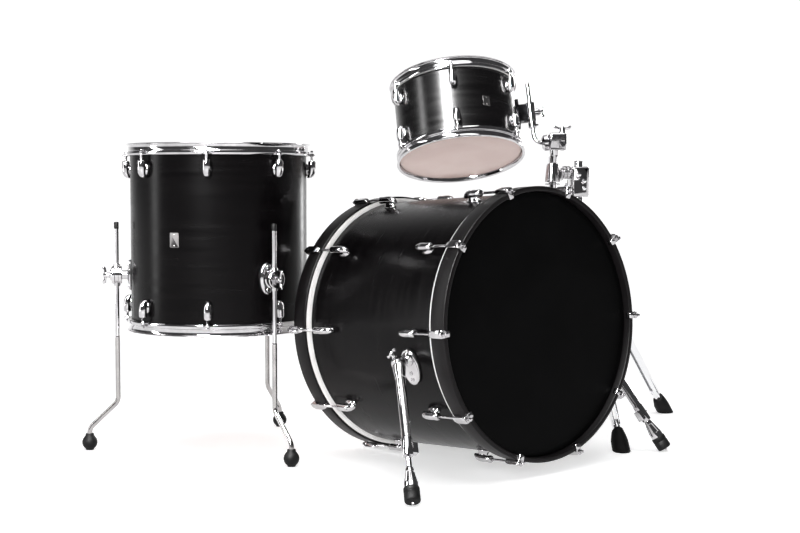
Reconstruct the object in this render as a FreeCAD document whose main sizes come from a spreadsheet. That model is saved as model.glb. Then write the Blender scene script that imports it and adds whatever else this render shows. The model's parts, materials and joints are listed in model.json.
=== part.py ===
"""An acoustic drum kit: bass drum, floor tom, and a rack tom on a tripod stand.

Lengths are millimetres and angles are degrees. +X points to the audience's right, +Y points to the
drummer, +Z is up, and the origin is on the floor under the middle of the kit's box. Each drum is built
in a frame of its own, whose Z axis is the drum's axis, and is then put in its place in the kit.
"""
import FreeCAD, Part
import math
import os

import Sketcher

Vector = FreeCAD.Vector
Rotation = FreeCAD.Rotation
Placement = FreeCAD.Placement

X_AXIS = Vector(1, 0, 0)
Y_AXIS = Vector(0, 1, 0)
Z_AXIS = Vector(0, 0, 1)

# ---------------------------------------------------------------------------------------------------
# Driving dimensions. Each one is a cell of the sheet, with the alias that is its name here.
# ---------------------------------------------------------------------------------------------------
DIMENSIONS = {
    # Where the middle of the kit's box lies, measured from the point under the bass drum.
    "kit_middle_x": 136.624,
    "kit_middle_y": 197.38,
    # Bass drum, 22 x 18 in.
    "bass_radius": 279.4,
    "bass_half": 228.6,
    "bass_wall": 7.5,
    "bass_tilt": 3.2,
    "bass_hoop_inner": 282.0,
    "bass_hoop_outer": 292.8,
    "bass_hoop_low": 205.0,
    "bass_hoop_top": 245.0,
    "bass_rod_offset": 17.6,
    "bass_lug_low": 110.0,
    "bass_lug_top": 163.0,
    # Toms.
    "tom_wall": 6.5,
    "edge_fall": 3.0,
    "floor_tom_radius": 203.2,
    "floor_tom_half": 203.2,
    "floor_tom_x": -332.9,
    "floor_tom_y": 475.7,
    "floor_tom_height": 493.8,
    "rack_tom_radius": 152.4,
    "rack_tom_half": 95.1,
    "rack_tom_x": 289.9,
    "rack_tom_y": 326.3,
    "rack_tom_height": 775.1,
    "rack_tom_tilt": 20.6,
    "rack_tom_lean": 63.4,
    # Heads and hoops.
    "film": 1.0,
    "hoop_metal": 2.3,
    "hoop_rise": 10.6,
    "hoop_drop": 16.0,
    "hoop_flange": 9.5,
    "rod_offset": 13.0,
    "rod_thick": 2.9,
    "lug_reach": 28.0,
    "lug_tall": 40.0,
    "lug_thick": 9.0,
    # Spurs.
    "spur_along": 120.0,
    "spur_angle": 105.0,
    "spur_plate_tall": 78.0,
    "spur_plate_wide": 50.0,
    "spur_plate_thick": 6.0,
    "spur_standoff": 31.0,
    "spur_hub_rise": 18.0,
    "spur_hub": 13.5,
    "spur_tube": 10.0,
    "spur_tube_end": 196.0,
    "spur_rod": 5.8,
    "left_spur_foot_x": -416.0,
    "left_spur_foot_y": -288.0,
    "right_spur_foot_x": 394.0,
    "right_spur_foot_y": -252.0,
    "spur_tip": 17.0,
    "spur_pad": 16.0,
    "spur_pad_edge": 4.0,
    # Floor-tom legs.
    "leg_rod": 4.9,
    "leg_foot_rod": 5.8,
    "leg_reach": 236.0,
    "leg_foot_reach": 302.0,
    "leg_top": 529.0,
    "leg_step": 264.0,
    "leg_bend_top": 112.0,
    "leg_bend_low": 50.0,
    "leg_bend": 25.0,
    "leg_foot_tall": 38.0,
    "leg_foot": 17.5,
    "leg_bracket_height": 406.0,
    # Tripod stand.
    "stand_x": 501.5,
    "stand_y": 104.0,
    "stand_tube": 14.3,
    "stand_tube_low": 62.0,
    "stand_tube_top": 520.0,
    "upper_tube": 11.0,
    "upper_tube_low": 200.0,
    "upper_tube_top": 672.0,
    "tripod_hub": 34.0,
    "tripod_hub_height": 420.0,
    "tripod_spread": 317.0,
    "tripod_ankle": 44.0,
    "boot_top": 27.0,
    "boot_long": 48.0,
    "boot_wide": 42.0,
    "brace_span": 170.0,
    "strip_wide": 18.0,
    "strip_thick": 3.0,
    "strip_gap": 10.0,
    "pivot_pin": 3.0,
    # Tom holder.
    "holder_rod": 5.3,
    "holder_rod_offset": 36.0,
    "holder_rod_drop": 85.0,
    "holder_rod_top": 80.0,
    "holder_arm": 57.0,
    "holder_block": 44.0,
    "holder_post": 10.0,
    "holder_post_offset": 12.0,
    "clamp_height": 620.0,
}

# Clearance of a shaft in its bore, and of two pieces that only pass each other.
RUNNING = 0.05
APART = 0.4

BASS_LUGS = 10
BASS_LUG_START = 18.3
FLOOR_TOM_LUGS = 8
FLOOR_TOM_LUG_START = 3.5
RACK_TOM_LUGS = 6
RACK_TOM_LUG_START = 11.8
RACK_TOM_BRACKET_ANGLE = 161.8
FLOOR_TOM_LEG_ANGLES = (-94.0, 146.0, 26.0)
TRIPOD_ANGLES = (-121.5, -1.5, 118.5)
SIDES = (("left", -1), ("right", 1))
# The peg of each tripod leg that its boot is pushed on.
PEG_RADIUS = 8.5

document = FreeCAD.newDocument("drum_kit")
sheet = document.addObject("Spreadsheet::Sheet", "dims")
for row, (alias, value) in enumerate(DIMENSIONS.items(), start=1):
    sheet.set(f"A{row}", alias.replace("_", " "))
    sheet.set(f"B{row}", str(value))
    sheet.setAlias(f"B{row}", alias)
document.recompute()


class Size:
    """A length or an angle: its number now, and the sheet formula that keeps it live."""

    def __init__(self, number, formula):
        self.number = float(number)
        self.formula = formula

    def __add__(self, other):
        other = as_size(other)
        return Size(self.number + other.number, f"({self.formula} + {other.formula})")

    def __sub__(self, other):
        other = as_size(other)
        return Size(self.number - other.number, f"({self.formula} - {other.formula})")

    def __mul__(self, factor):
        return Size(self.number * factor, f"({self.formula} * {factor:.6f})")

    def __neg__(self):
        return self * -1


def as_size(value):
    """A plain number as a Size, and a Size as it is."""
    if isinstance(value, Size):
        return value
    return Size(value, f"({float(value):.6f})")


class Dims:
    """The sheet's cells, each as a Size under its alias."""

    def __getattr__(self, alias):
        return Size(sheet.get(alias), f"dims.{alias}")


dim = Dims()
nodes = {}


# ---------------------------------------------------------------------------------------------------
# Places
# ---------------------------------------------------------------------------------------------------
def place(x=0.0, y=0.0, z=0.0, rotation=None):
    """A Placement at a point, turned by a Rotation."""
    return Placement(Vector(x, y, z), rotation or Rotation())


def turn(angle, axis=Z_AXIS):
    """A Placement that only turns, by an angle in degrees."""
    return Placement(Vector(), Rotation(axis, angle))


def frame(origin, x_dir, z_dir):
    """A Placement whose Z axis is z_dir, and whose X axis is as near x_dir as that allows."""
    y_dir = z_dir.cross(x_dir)
    return Placement(origin, Rotation(x_dir, y_dir, z_dir, "ZXY"))


KIT = place(-dim.kit_middle_x.number, -dim.kit_middle_y.number)


def bass_place():
    """The bass drum's frame: Z to its front, X to its top, with the rear hoop's rim on the floor."""
    tilt = math.radians(dim.bass_tilt.number)
    front = Vector(0, -math.cos(tilt), math.sin(tilt))
    top = Vector(0, math.sin(tilt), math.cos(tilt))
    rim = dim.bass_hoop_outer.number * math.cos(tilt) + dim.bass_hoop_top.number * math.sin(tilt)
    return KIT * frame(Vector(0, 0, rim), top, front)


def rack_tom_place():
    """The rack tom's frame: Z up its leaning axis."""
    tilt = math.radians(dim.rack_tom_tilt.number)
    lean = math.radians(dim.rack_tom_lean.number)
    up = Vector(math.sin(tilt) * math.cos(lean), math.sin(tilt) * math.sin(lean), math.cos(tilt))
    across = Z_AXIS.cross(up).normalize()
    centre = Vector(dim.rack_tom_x.number, dim.rack_tom_y.number, dim.rack_tom_height.number)
    return KIT * frame(centre, across, up)


SPUR_FEET = {-1: (dim.left_spur_foot_x, dim.left_spur_foot_y),
             1: (dim.right_spur_foot_x, dim.right_spur_foot_y)}
BASS = bass_place()
FLOOR_TOM = KIT * place(dim.floor_tom_x.number, dim.floor_tom_y.number, dim.floor_tom_height.number)
FLOOR_TOM_FLOOR = KIT * place(dim.floor_tom_x.number, dim.floor_tom_y.number)
RACK_TOM = rack_tom_place()
STAND = KIT * place(dim.stand_x.number, dim.stand_y.number)
ROD_REACH = dim.rack_tom_radius + dim.holder_rod_offset
# The holder rod's corner, with X along its short arm and Z up its long one.
ROD = RACK_TOM * turn(RACK_TOM_BRACKET_ANGLE) * place(ROD_REACH.number, 0, -dim.holder_rod_drop.number)


def holder_places():
    """The holder block's frame and the clamp's frame, whose X axis points from the tube to the post."""
    middle = ROD.multVec(Vector(dim.holder_arm.number, 0, 0))
    arm = ROD.Rotation.multVec(X_AXIS)
    level = Vector(arm.x, arm.y, 0).normalize()
    block = frame(middle, level, Z_AXIS)
    post = middle - level * dim.holder_post_offset.number
    across = Vector(post.x - STAND.Base.x, post.y - STAND.Base.y, 0)
    clamp = frame(STAND.Base, Vector(across).normalize(), Z_AXIS)
    return block, post, clamp, across.Length


BLOCK, POST, CLAMP, POST_REACH = holder_places()


# ---------------------------------------------------------------------------------------------------
# Sketches and features
# ---------------------------------------------------------------------------------------------------
def origin_feature(body, role):
    """One of a body's own origin planes or axes."""
    return [item for item in body.Origin.OriginFeatures if item.Role == role][0]


def new_body(name, where=None):
    """An empty body, placed in the kit."""
    body = document.addObject("PartDesign::Body", name)
    body.Label = name
    body.AllowCompound = True
    body.Placement = where or Placement()
    return body


def node(name, item, where=None):
    """Names an object as one of the kit's pieces, and places it."""
    item.Label = name
    if where is not None:
        item.Placement = where
    nodes[name] = item
    return item


def new_sketch(body, plane, offset=0.0):
    """A sketch on one of the body's origin planes, moved along the plane's normal."""
    sketch = body.newObject("Sketcher::SketchObject", "outline")
    sketch.AttachmentSupport = [(origin_feature(body, plane), "")]
    sketch.MapMode = "FlatFace"
    offset = as_size(offset)
    sketch.AttachmentOffset = place(z=offset.number)
    sketch.setExpression("AttachmentOffset.Base.z", offset.formula)
    return sketch


def section_at(body, where):
    """A sketch on a plane that stands anywhere in the body."""
    sketch = body.newObject("Sketcher::SketchObject", "section")
    sketch.AttachmentSupport = [(origin_feature(body, "XY_Plane"), "")]
    sketch.MapMode = "FlatFace"
    sketch.AttachmentOffset = where
    return sketch


def fix_point(sketch, edge, end, x, y):
    """Holds a point of the sketch at two driven distances from its origin."""
    for kind, size in (("DistanceX", as_size(x)), ("DistanceY", as_size(y))):
        index = sketch.addConstraint(Sketcher.Constraint(kind, -1, 1, edge, end, size.number))
        sketch.setExpression(f"Constraints[{index}]", size.formula)


def draw_polygon(sketch, corners):
    """A closed outline through driven corners."""
    points = [Vector(as_size(x).number, as_size(y).number, 0) for x, y in corners]
    count = len(points)
    first = sketch.GeometryCount
    for index in range(count):
        sketch.addGeometry(Part.LineSegment(points[index], points[(index + 1) % count]), False)
    for index in range(count):
        following = first + (index + 1) % count
        sketch.addConstraint(Sketcher.Constraint("Coincident", first + index, 2, following, 1))
    for index, (x, y) in enumerate(corners):
        fix_point(sketch, first + index, 1, x, y)


def draw_oval(sketch, x, y, wide, tall, sides=36):
    """An oval outline about a driven centre."""
    corners = []
    for step in range(sides):
        angle = 2 * math.pi * step / sides
        corners.append((as_size(wide) * (math.cos(angle) / 2) + x, as_size(tall) * (math.sin(angle) / 2) + y))
    draw_polygon(sketch, corners)


def draw_circle(sketch, x, y, radius):
    """A circle with a driven centre and radius."""
    x, y, radius = as_size(x), as_size(y), as_size(radius)
    edge = sketch.addGeometry(Part.Circle(Vector(x.number, y.number, 0), Z_AXIS, radius.number), False)
    fix_point(sketch, edge, 3, x, y)
    index = sketch.addConstraint(Sketcher.Constraint("Radius", edge, radius.number))
    sketch.setExpression(f"Constraints[{index}]", radius.formula)


def add_turned(body, corners, axis=0.0):
    """Turns an outline of (radius, height) corners about the Z direction, at a distance from the origin."""
    axis = as_size(axis)
    sketch = new_sketch(body, "XZ_Plane")
    line = sketch.addGeometry(Part.LineSegment(Vector(axis.number, 0, 0), Vector(axis.number, 50, 0)), True)
    fix_point(sketch, line, 1, axis, 0)
    fix_point(sketch, line, 2, axis, 50)
    draw_polygon(sketch, [(axis + radius, height) for radius, height in corners])
    feature = body.newObject("PartDesign::Revolution", "turned")
    feature.Profile = sketch
    feature.ReferenceAxis = (sketch, ["Axis0"])
    feature.Angle = 360
    return feature


def add_pad(body, sketch, length, both_ways=False):
    """Pads a sketch along its normal, or equally to both sides of it."""
    feature = body.newObject("PartDesign::Pad", "pad")
    feature.Profile = sketch
    size = as_size(length)
    feature.Length = size.number
    feature.setExpression("Length", size.formula)
    if both_ways:
        feature.SideType = "Symmetric"
    return feature


def add_through_cut(body, sketch):
    """Cuts a sketch's outline right through the body, to both sides."""
    feature = body.newObject("PartDesign::Pocket", "cut")
    feature.Profile = sketch
    feature.Type = "ThroughAll"
    feature.SideType = "Symmetric"
    return feature


def cut_circle(body, plane, x, y, radius):
    """Cuts a round hole right through the body."""
    sketch = new_sketch(body, plane)
    draw_circle(sketch, x, y, radius)
    return add_through_cut(body, sketch)


def repeat_around(body, originals, count, mirrored=True):
    """Repeats features around the Z axis, and mirrors them to the other end."""
    pattern = body.newObject("PartDesign::MultiTransform", "around")
    pattern.Originals = originals
    polar = document.addObject("PartDesign::PolarPattern", "polar")
    body.addObject(polar)
    polar.Axis = (origin_feature(body, "Z_Axis"), [""])
    polar.Angle = 360
    polar.Occurrences = count
    steps = [polar]
    if mirrored:
        mirror = document.addObject("PartDesign::Mirrored", "ends")
        body.addObject(mirror)
        mirror.MirrorPlane = (origin_feature(body, "XY_Plane"), [""])
        steps.append(mirror)
    pattern.Transformations = steps
    body.Tip = pattern
    return pattern


def mirror_ends(body, originals):
    """Mirrors features to the other end of the drum."""
    mirror = body.newObject("PartDesign::Mirrored", "ends")
    mirror.Originals = originals
    mirror.MirrorPlane = (origin_feature(body, "XY_Plane"), [""])
    body.Tip = mirror
    return mirror


def turned_node(name, where, corners):
    """A node that is one turned solid."""
    body = new_body(name, where)
    add_turned(body, corners)
    return node(name, body)


def arc_corners(x, y, radius, start, end, steps):
    """Corners along an arc about (x, y), from one angle to another."""
    corners = []
    for step in range(steps + 1):
        angle = math.radians(start + (end - start) * step / steps)
        corners.append((as_size(x) + as_size(radius) * math.cos(angle),
                        as_size(y) + as_size(radius) * math.sin(angle)))
    return corners


# ---------------------------------------------------------------------------------------------------
# Primitives and booleans
# ---------------------------------------------------------------------------------------------------
def drive(item, **sizes):
    """Binds an object's properties to sizes."""
    for name, value in sizes.items():
        size = as_size(value)
        setattr(item, name, size.number)
        item.setExpression(name, size.formula)
    return item


def cylinder(radius, length, where=None):
    """A cylinder up the Z axis of its place."""
    item = document.addObject("Part::Cylinder", "cylinder")
    item.Placement = where or Placement()
    return drive(item, Radius=radius, Height=length)


def cone(low_radius, top_radius, length, where=None):
    """A cone's frustum up the Z axis of its place."""
    item = document.addObject("Part::Cone", "cone")
    item.Placement = where or Placement()
    return drive(item, Radius1=low_radius, Radius2=top_radius, Height=length)


def box(length, width, height, where=None, rounding=0.0):
    """A box centred on its place, with its edges rounded where that is asked for."""
    item = document.addObject("Part::Box", "box")
    drive(item, Length=length, Width=width, Height=height)
    half = place(-as_size(length).number / 2, -as_size(width).number / 2, -as_size(height).number / 2)
    item.Placement = (where or Placement()) * half
    if not rounding:
        return item
    rounded = document.addObject("Part::Fillet", "rounded_box")
    rounded.Base = item
    rounded.Edges = [(edge, rounding, rounding) for edge in range(1, 13)]
    return rounded


def fuse(*items):
    """The union of solids."""
    union = document.addObject("Part::MultiFuse", "union")
    union.Shapes = list(items)
    return union


def cut(base, *tools):
    """A solid less some others."""
    for tool in tools:
        difference = document.addObject("Part::Cut", "difference")
        difference.Base = base
        difference.Tool = tool
        base = difference
    return base


def copies(name, item, places):
    """A node of identical solids, one at each place. The item stays the pattern that they follow."""
    links = []
    for where in places:
        link = document.addObject("App::Link", f"{name}_copy")
        link.LinkedObject = item
        link.Placement = where
        links.append(link)
    group = document.addObject("Part::Compound", name)
    group.Links = links
    return node(name, group)


def along_x(x=0.0, y=0.0, z=0.0):
    """A place whose Z axis points along X, for a cylinder that lies down."""
    return place(x, y, z, Rotation(Y_AXIS, 90))


def along_y(x=0.0, y=0.0, z=0.0):
    """A place whose Z axis points along Y."""
    return place(x, y, z, Rotation(X_AXIS, -90))


# ---------------------------------------------------------------------------------------------------
# Pieces that every drum has
# ---------------------------------------------------------------------------------------------------
def shell(name, where, radius, half, wall):
    """A drum's shell: a wooden tube with its rims cut back inside to a bearing edge."""
    inner = radius - wall
    crest = radius - wall * 0.4
    turned_node(name, where, [
        (inner, -half + dim.edge_fall), (crest, -half), (radius, -half + dim.edge_fall * 0.5),
        (radius, half - dim.edge_fall * 0.5), (crest, half), (inner, half - dim.edge_fall)])


def tom_head(name, where, radius, half, end):
    """A tom's head: a film over the bearing edge, its collar, and the metal ring that it is held by."""
    collar_in = radius + 0.3
    collar_out = radius + 0.6
    ring_in = radius + 0.6
    ring_out = radius + 5.3
    top = half + dim.film + 0.1
    corners = [
        (0, half + 0.1), (collar_in, half + 0.1), (collar_in, half - 15.0), (ring_out, half - 15.0),
        (ring_out, half - 9.0), (ring_in + 0.7, half - 9.0), (collar_out + 0.7, top - 0.6),
        (collar_out, top), (0, top)]
    turned_node(name, where, [(radius_at, height * end) for radius_at, height in corners])


def flanged_hoops(name, where, radius, half, count):
    """Two pressed hoops: a skirt round the head's ring, a wall, a rim turned out, and ears for the rods."""
    body = new_body(name, where)
    metal = dim.hoop_metal
    skirt = radius + 8.0
    wall = radius + 2.1
    low = half - dim.hoop_drop
    top = half + dim.hoop_rise
    step = half - 8.8
    ring = add_turned(body, [
        (skirt - metal, low), (skirt, low), (skirt, step + metal), (wall + metal, step + metal),
        (wall + metal, top - metal), (radius + dim.hoop_flange, top - metal),
        (radius + dim.hoop_flange, top), (wall, top), (wall, step), (skirt - metal, step)])
    mirror_ends(body, [ring])
    ear = new_sketch(body, "XY_Plane", low)
    draw_circle(ear, radius + dim.rod_offset, 0, 7.5)
    draw_circle(ear, radius + dim.rod_offset, 0, dim.rod_thick + 0.2)
    ears = add_pad(body, ear, metal)
    repeat_around(body, [ears], count)
    return node(name, body)


def lugs(name, where, radius, axis, low, top, thick, count):
    """Bullet-shaped lugs: each one holds a tension rod's nut, and stands on the shell by an oval foot."""
    body = new_body(name, where)
    bore = dim.rod_thick + 0.2
    tall = top - low
    bullet = add_turned(body, [
        (bore, top), (thick - 2.0, top), (thick - 0.4, top - 3.0), (thick, top - 8.0),
        (thick, low + tall * 0.45), (thick * 0.82, low + tall * 0.22), (thick * 0.5, low + tall * 0.06),
        (0, low), (0, top - 22.0), (bore, top - 22.0)], axis)
    foot_sketch = new_sketch(body, "YZ_Plane", radius - 2.0)
    draw_oval(foot_sketch, 0, low + tall * 0.52, thick * 1.7, tall * 0.66)
    foot = add_pad(body, foot_sketch, axis - radius - 1.5)
    repeat_around(body, [bullet, foot], count)
    cut_circle(body, "XY_Plane", 0, 0, radius)
    # The foot reaches in past the lug's bore, so the bore is drilled again.
    hole_sketch = new_sketch(body, "XY_Plane", top - 22.0)
    draw_circle(hole_sketch, axis, 0, bore)
    hole = body.newObject("PartDesign::Pocket", "bore")
    hole.Profile = hole_sketch
    hole.Length = 30
    hole.Reversed = True
    repeat_around(body, [hole], count)
    return node(name, body)


def tension_rods(name, where, axis, low, seat, count):
    """Key rods: a threaded shank down into the lug, a washer on the hoop's ear or claw, a square head."""
    body = new_body(name, where)
    shank = add_turned(body, [
        (0, low), (dim.rod_thick, low), (dim.rod_thick, seat), (4.8, seat), (4.8, seat + 1.4),
        (4.2, seat + 1.4), (4.2, seat + 2.8), (0, seat + 2.8)], axis)
    head_sketch = new_sketch(body, "XY_Plane", seat + 2.8)
    side = 2.9
    draw_polygon(head_sketch, [
        (axis - side, -side), (axis + side, -side), (axis + side, side), (axis - side, side)])
    head = add_pad(body, head_sketch, 7.0)
    repeat_around(body, [shank, head], count)
    return node(name, body)


def tom(prefix, where, radius, half, lug_count, lug_start):
    """A tom without its mount: shell, two heads, hoops, lugs and tension rods."""
    turned = where * turn(lug_start)
    axis = radius + dim.rod_offset
    lug_top = half - dim.lug_reach
    shell(f"{prefix}_shell", where, radius, half, dim.tom_wall)
    tom_head(f"{prefix}_batter_head", where, radius, half, 1)
    tom_head(f"{prefix}_resonant_head", where, radius, half, -1)
    flanged_hoops(f"{prefix}_hoops", turned, radius, half, lug_count)
    lugs(f"{prefix}_lugs", turned, radius, axis, lug_top - dim.lug_tall, lug_top, dim.lug_thick, lug_count)
    seat = half - dim.hoop_drop + dim.hoop_metal
    tension_rods(f"{prefix}_tension_rods", turned, axis, lug_top - 18.0, seat, lug_count)


def wing_bolt(name, where, shank, shank_length, hub_length, span):
    """A wing bolt along Z: a shank below the origin, a round hub above it, and two flat wings."""
    pieces = fuse(
        cylinder(shank, shank_length + 1.0, place(z=-shank_length)),
        cone(7.5, 6.0, hub_length, place()),
        box(span, 5.0, 11.0, place(z=hub_length + 3.0), 2.0),
        cylinder(5.5, 8.0, place(z=hub_length - 2.0)))
    return node(name, pieces, where)


# ---------------------------------------------------------------------------------------------------
# Bass drum
# ---------------------------------------------------------------------------------------------------
def bass_head(name, end):
    """A bass drum head: a film over the bearing edge, and the collar that goes down into its ring."""
    inner = dim.bass_radius + 0.3
    top = dim.bass_half + 0.1 + dim.film
    corners = [
        (0, dim.bass_half + 0.1), (inner, dim.bass_half + 0.1), (inner, dim.bass_hoop_low),
        (inner + 1.0, dim.bass_hoop_low), (inner + 1.0, top - 0.6), (inner + 0.4, top), (0, top)]
    turned_node(name, BASS, [(radius, height * end) for radius, height in corners])


def bass_drum():
    """The bass drum's shell, heads, hoops, lugs, claws and tension rods."""
    shell("bass_shell", BASS, dim.bass_radius, dim.bass_half, dim.bass_wall)
    bass_head("bass_front_head", 1)
    bass_head("bass_rear_head", -1)

    ring_body = new_body("bass_head_rings", BASS)
    ring = add_turned(ring_body, [
        (dim.bass_radius + 0.3, dim.bass_hoop_low - 8.5), (dim.bass_radius + 7.6, dim.bass_hoop_low - 8.5),
        (dim.bass_radius + 8.6, dim.bass_hoop_low - 7.0), (dim.bass_radius + 8.6, dim.bass_hoop_low - 0.1),
        (dim.bass_radius + 0.3, dim.bass_hoop_low - 0.1)])
    mirror_ends(ring_body, [ring])
    node("bass_head_rings", ring_body)

    hoop_body = new_body("bass_hoops", BASS)
    round_over = 2.0
    low, top = dim.bass_hoop_low, dim.bass_hoop_top
    inner, outer = dim.bass_hoop_inner, dim.bass_hoop_outer
    hoop = add_turned(hoop_body, [
        (inner, low), (outer - round_over, low), (outer, low + round_over), (outer, top - round_over),
        (outer - round_over, top), (inner + round_over, top), (inner, top - round_over)])
    mirror_ends(hoop_body, [hoop])
    node("bass_hoops", hoop_body)

    turned = BASS * turn(BASS_LUG_START)
    axis = dim.bass_radius + dim.bass_rod_offset
    lugs("bass_lugs", turned, dim.bass_radius, axis, dim.bass_lug_low, dim.bass_lug_top, as_size(8.4),
         BASS_LUGS)
    claws(turned, axis)
    tension_rods("bass_tension_rods", turned, axis, dim.bass_lug_top - 18.0, dim.bass_hoop_top + 4.6,
                 BASS_LUGS)


def claws(where, axis):
    """The claws: each one hooks over a hoop's edge, and its tension rod pulls it down."""
    body = new_body("bass_claws", where)
    gap = 0.1
    back = dim.bass_hoop_outer + gap
    inside = dim.bass_hoop_inner - gap
    seat = dim.bass_hoop_top + 0.05
    top = dim.bass_hoop_top + 4.6
    low = dim.bass_hoop_low + 1.5
    outline = new_sketch(body, "XZ_Plane")
    draw_polygon(outline, [
        (back, low), (axis + 4.5, low), (axis + 7.0, low + 9.0), (axis + 7.0, top - 3.0),
        (axis + 4.5, top), (inside - 1.5, top), (inside - 3.5, top - 2.5), (inside - 3.0, top - 14.0),
        (inside, top - 14.0), (inside, seat), (back, seat)])
    hook = add_pad(body, outline, 20.0, both_ways=True)
    hole_sketch = new_sketch(body, "XY_Plane")
    draw_circle(hole_sketch, axis, 0, dim.rod_thick + 0.3)
    hole = add_through_cut(body, hole_sketch)
    repeat_around(body, [hook, hole], BASS_LUGS)
    node("bass_claws", body)


def spur_frames(side):
    """A spur's bracket frame, with Z out of the shell, and its leg frame, with Z down the leg."""
    out_of_shell = place(dim.bass_radius.number, 0, dim.spur_along.number, Rotation(Y_AXIS, 90))
    # The hub sits above the plate's middle, so the left bracket is the right one turned half round.
    half_turn = turn(0 if side > 0 else 180)
    bracket = BASS * turn(-side * dim.spur_angle.number) * out_of_shell * half_turn
    pivot = bracket.Rotation.multVec(Z_AXIS)
    hub = bracket.multVec(Vector(0, dim.spur_hub_rise.number, dim.spur_standoff.number))
    foot_x, foot_y = SPUR_FEET[side]
    foot = KIT.multVec(Vector(foot_x.number, foot_y.number, dim.spur_tip.number))
    down = foot - hub
    length = down.Length
    down.normalize()
    lean = math.degrees(math.acos(down.dot(pivot)))
    across = (pivot - down * down.dot(pivot)).normalize()
    return bracket, frame(hub, across, down), lean, length


def spur_bracket():
    """An oval plate that fits the shell, with a neck and the pin that the spur folds on."""
    body = new_body("spur_bracket_pattern")
    oval = new_sketch(body, "XY_Plane", -4.0)
    draw_oval(oval, 0, 0, dim.spur_plate_wide, dim.spur_plate_tall)
    add_pad(body, oval, dim.spur_plate_thick + 4.0)
    neck = dim.spur_standoff - 12.4
    for start, radius, end in ((-2.0, 15.0, as_size(10.0)), (8.0, 9.5, neck), (9.0, 5.0, neck + 18.4)):
        round_part = new_sketch(body, "XY_Plane", start)
        draw_circle(round_part, 0, dim.spur_hub_rise, radius)
        add_pad(body, round_part, end - start)
    cut_circle(body, "YZ_Plane", 0, -dim.bass_radius, dim.bass_radius)
    return body


def pad_face(leg_place):
    """How far the rubber pad reaches past the foot's middle, so that its rounded edge meets the floor."""
    down = -leg_place.Rotation.multVec(Z_AXIS).z
    out = math.sqrt(1 - down * down)
    edge = dim.spur_pad_edge.number
    return edge + (dim.spur_tip.number - edge - (dim.spur_pad.number - edge) * out) / down


def spur(label, side):
    """One spur: hub and tube, the rod that slides in it with its rubber tip, and the T-headed screw."""
    leg_place, lean, length = spur_frames(side)[1:]
    pivot = Placement(Vector(), Rotation(Y_AXIS, lean))
    hub_half = 12.0
    body = fuse(
        cylinder(dim.spur_hub, 2 * hub_half, pivot * place(z=-hub_half)),
        cone(14.5, dim.spur_tube, 30.0, place(z=6)),
        cylinder(dim.spur_tube, dim.spur_tube_end - 20.0, place(z=20)),
        cylinder(13.0, 26.0, place(z=dim.spur_tube_end.number - 4)),
        box(15.0, 16.0, 24.0, place(-14.0, 0, dim.spur_tube_end.number + 9), 2.0))
    hub_bore = cylinder(5.0 + RUNNING, hub_half + 7.0, pivot * place(z=-hub_half - 0.5))
    screw_bore = cylinder(3.0 + RUNNING, 9.0, pivot * along_x(6.0))
    rod_bore = cylinder(dim.spur_rod + RUNNING, dim.spur_tube_end, place(z=48))
    node(f"{label}_spur_tube", cut(body, hub_bore, screw_bore, rod_bore), leg_place)

    turned_node(f"{label}_spur_rod", leg_place, [
        (0, 90), (dim.spur_rod, 90), (dim.spur_rod, length - 62), (8.5, length - 60), (14.5, length - 30),
        (14.5, length - 20), (3.2, length - 20), (3.2, length + 15), (0, length + 20)])
    pad, edge = dim.spur_pad, dim.spur_pad_edge
    face = pad_face(leg_place)
    turned_node(f"{label}_spur_tip", leg_place, [
        (3.2, length - 20), (pad - 1.5, length - 20), (pad, length - 18.5)]
        + arc_corners(pad - edge, length + face - edge.number, edge, 0, 90, 4) + [(3.2, length + face)])

    key = fuse(
        cylinder(3.0, 18.0, place(z=-7)),
        cone(6.0, 4.5, 5.0, place(z=0.8)),
        cylinder(2.7, 28.0, along_y(0, -14, 13.0)),
        cylinder(4.6, 6.0, place(z=8.5)))
    key_place = leg_place * pivot * along_x(dim.spur_hub.number)
    node(f"{label}_spur_key", key, key_place)


# ---------------------------------------------------------------------------------------------------
# Floor tom's legs
# ---------------------------------------------------------------------------------------------------
def leg_bracket():
    """A plate on the shell, a neck, and a round clamp that the leg passes through."""
    radius = dim.floor_tom_radius
    start = radius.number
    reach = dim.leg_reach.number
    solid = fuse(
        box(9.0, 36.0, 70.0, place(start + 1.5), 2.0),
        cylinder(13.0, 20.0, along_x(start + 3)),
        cylinder(21.0, 24.0, along_x(reach - 12)),
        cylinder(12.0, 6.0, along_x(reach + 10)))
    leg_bore = cylinder(dim.leg_rod + RUNNING, 60.0, place(reach, 0, -30))
    bolt_bore = cylinder(4.0 + RUNNING, 12.0, along_x(reach + 6))
    inside = cylinder(radius, 120.0, place(z=-60))
    return cut(solid, leg_bore, bolt_bore, inside)


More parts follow.
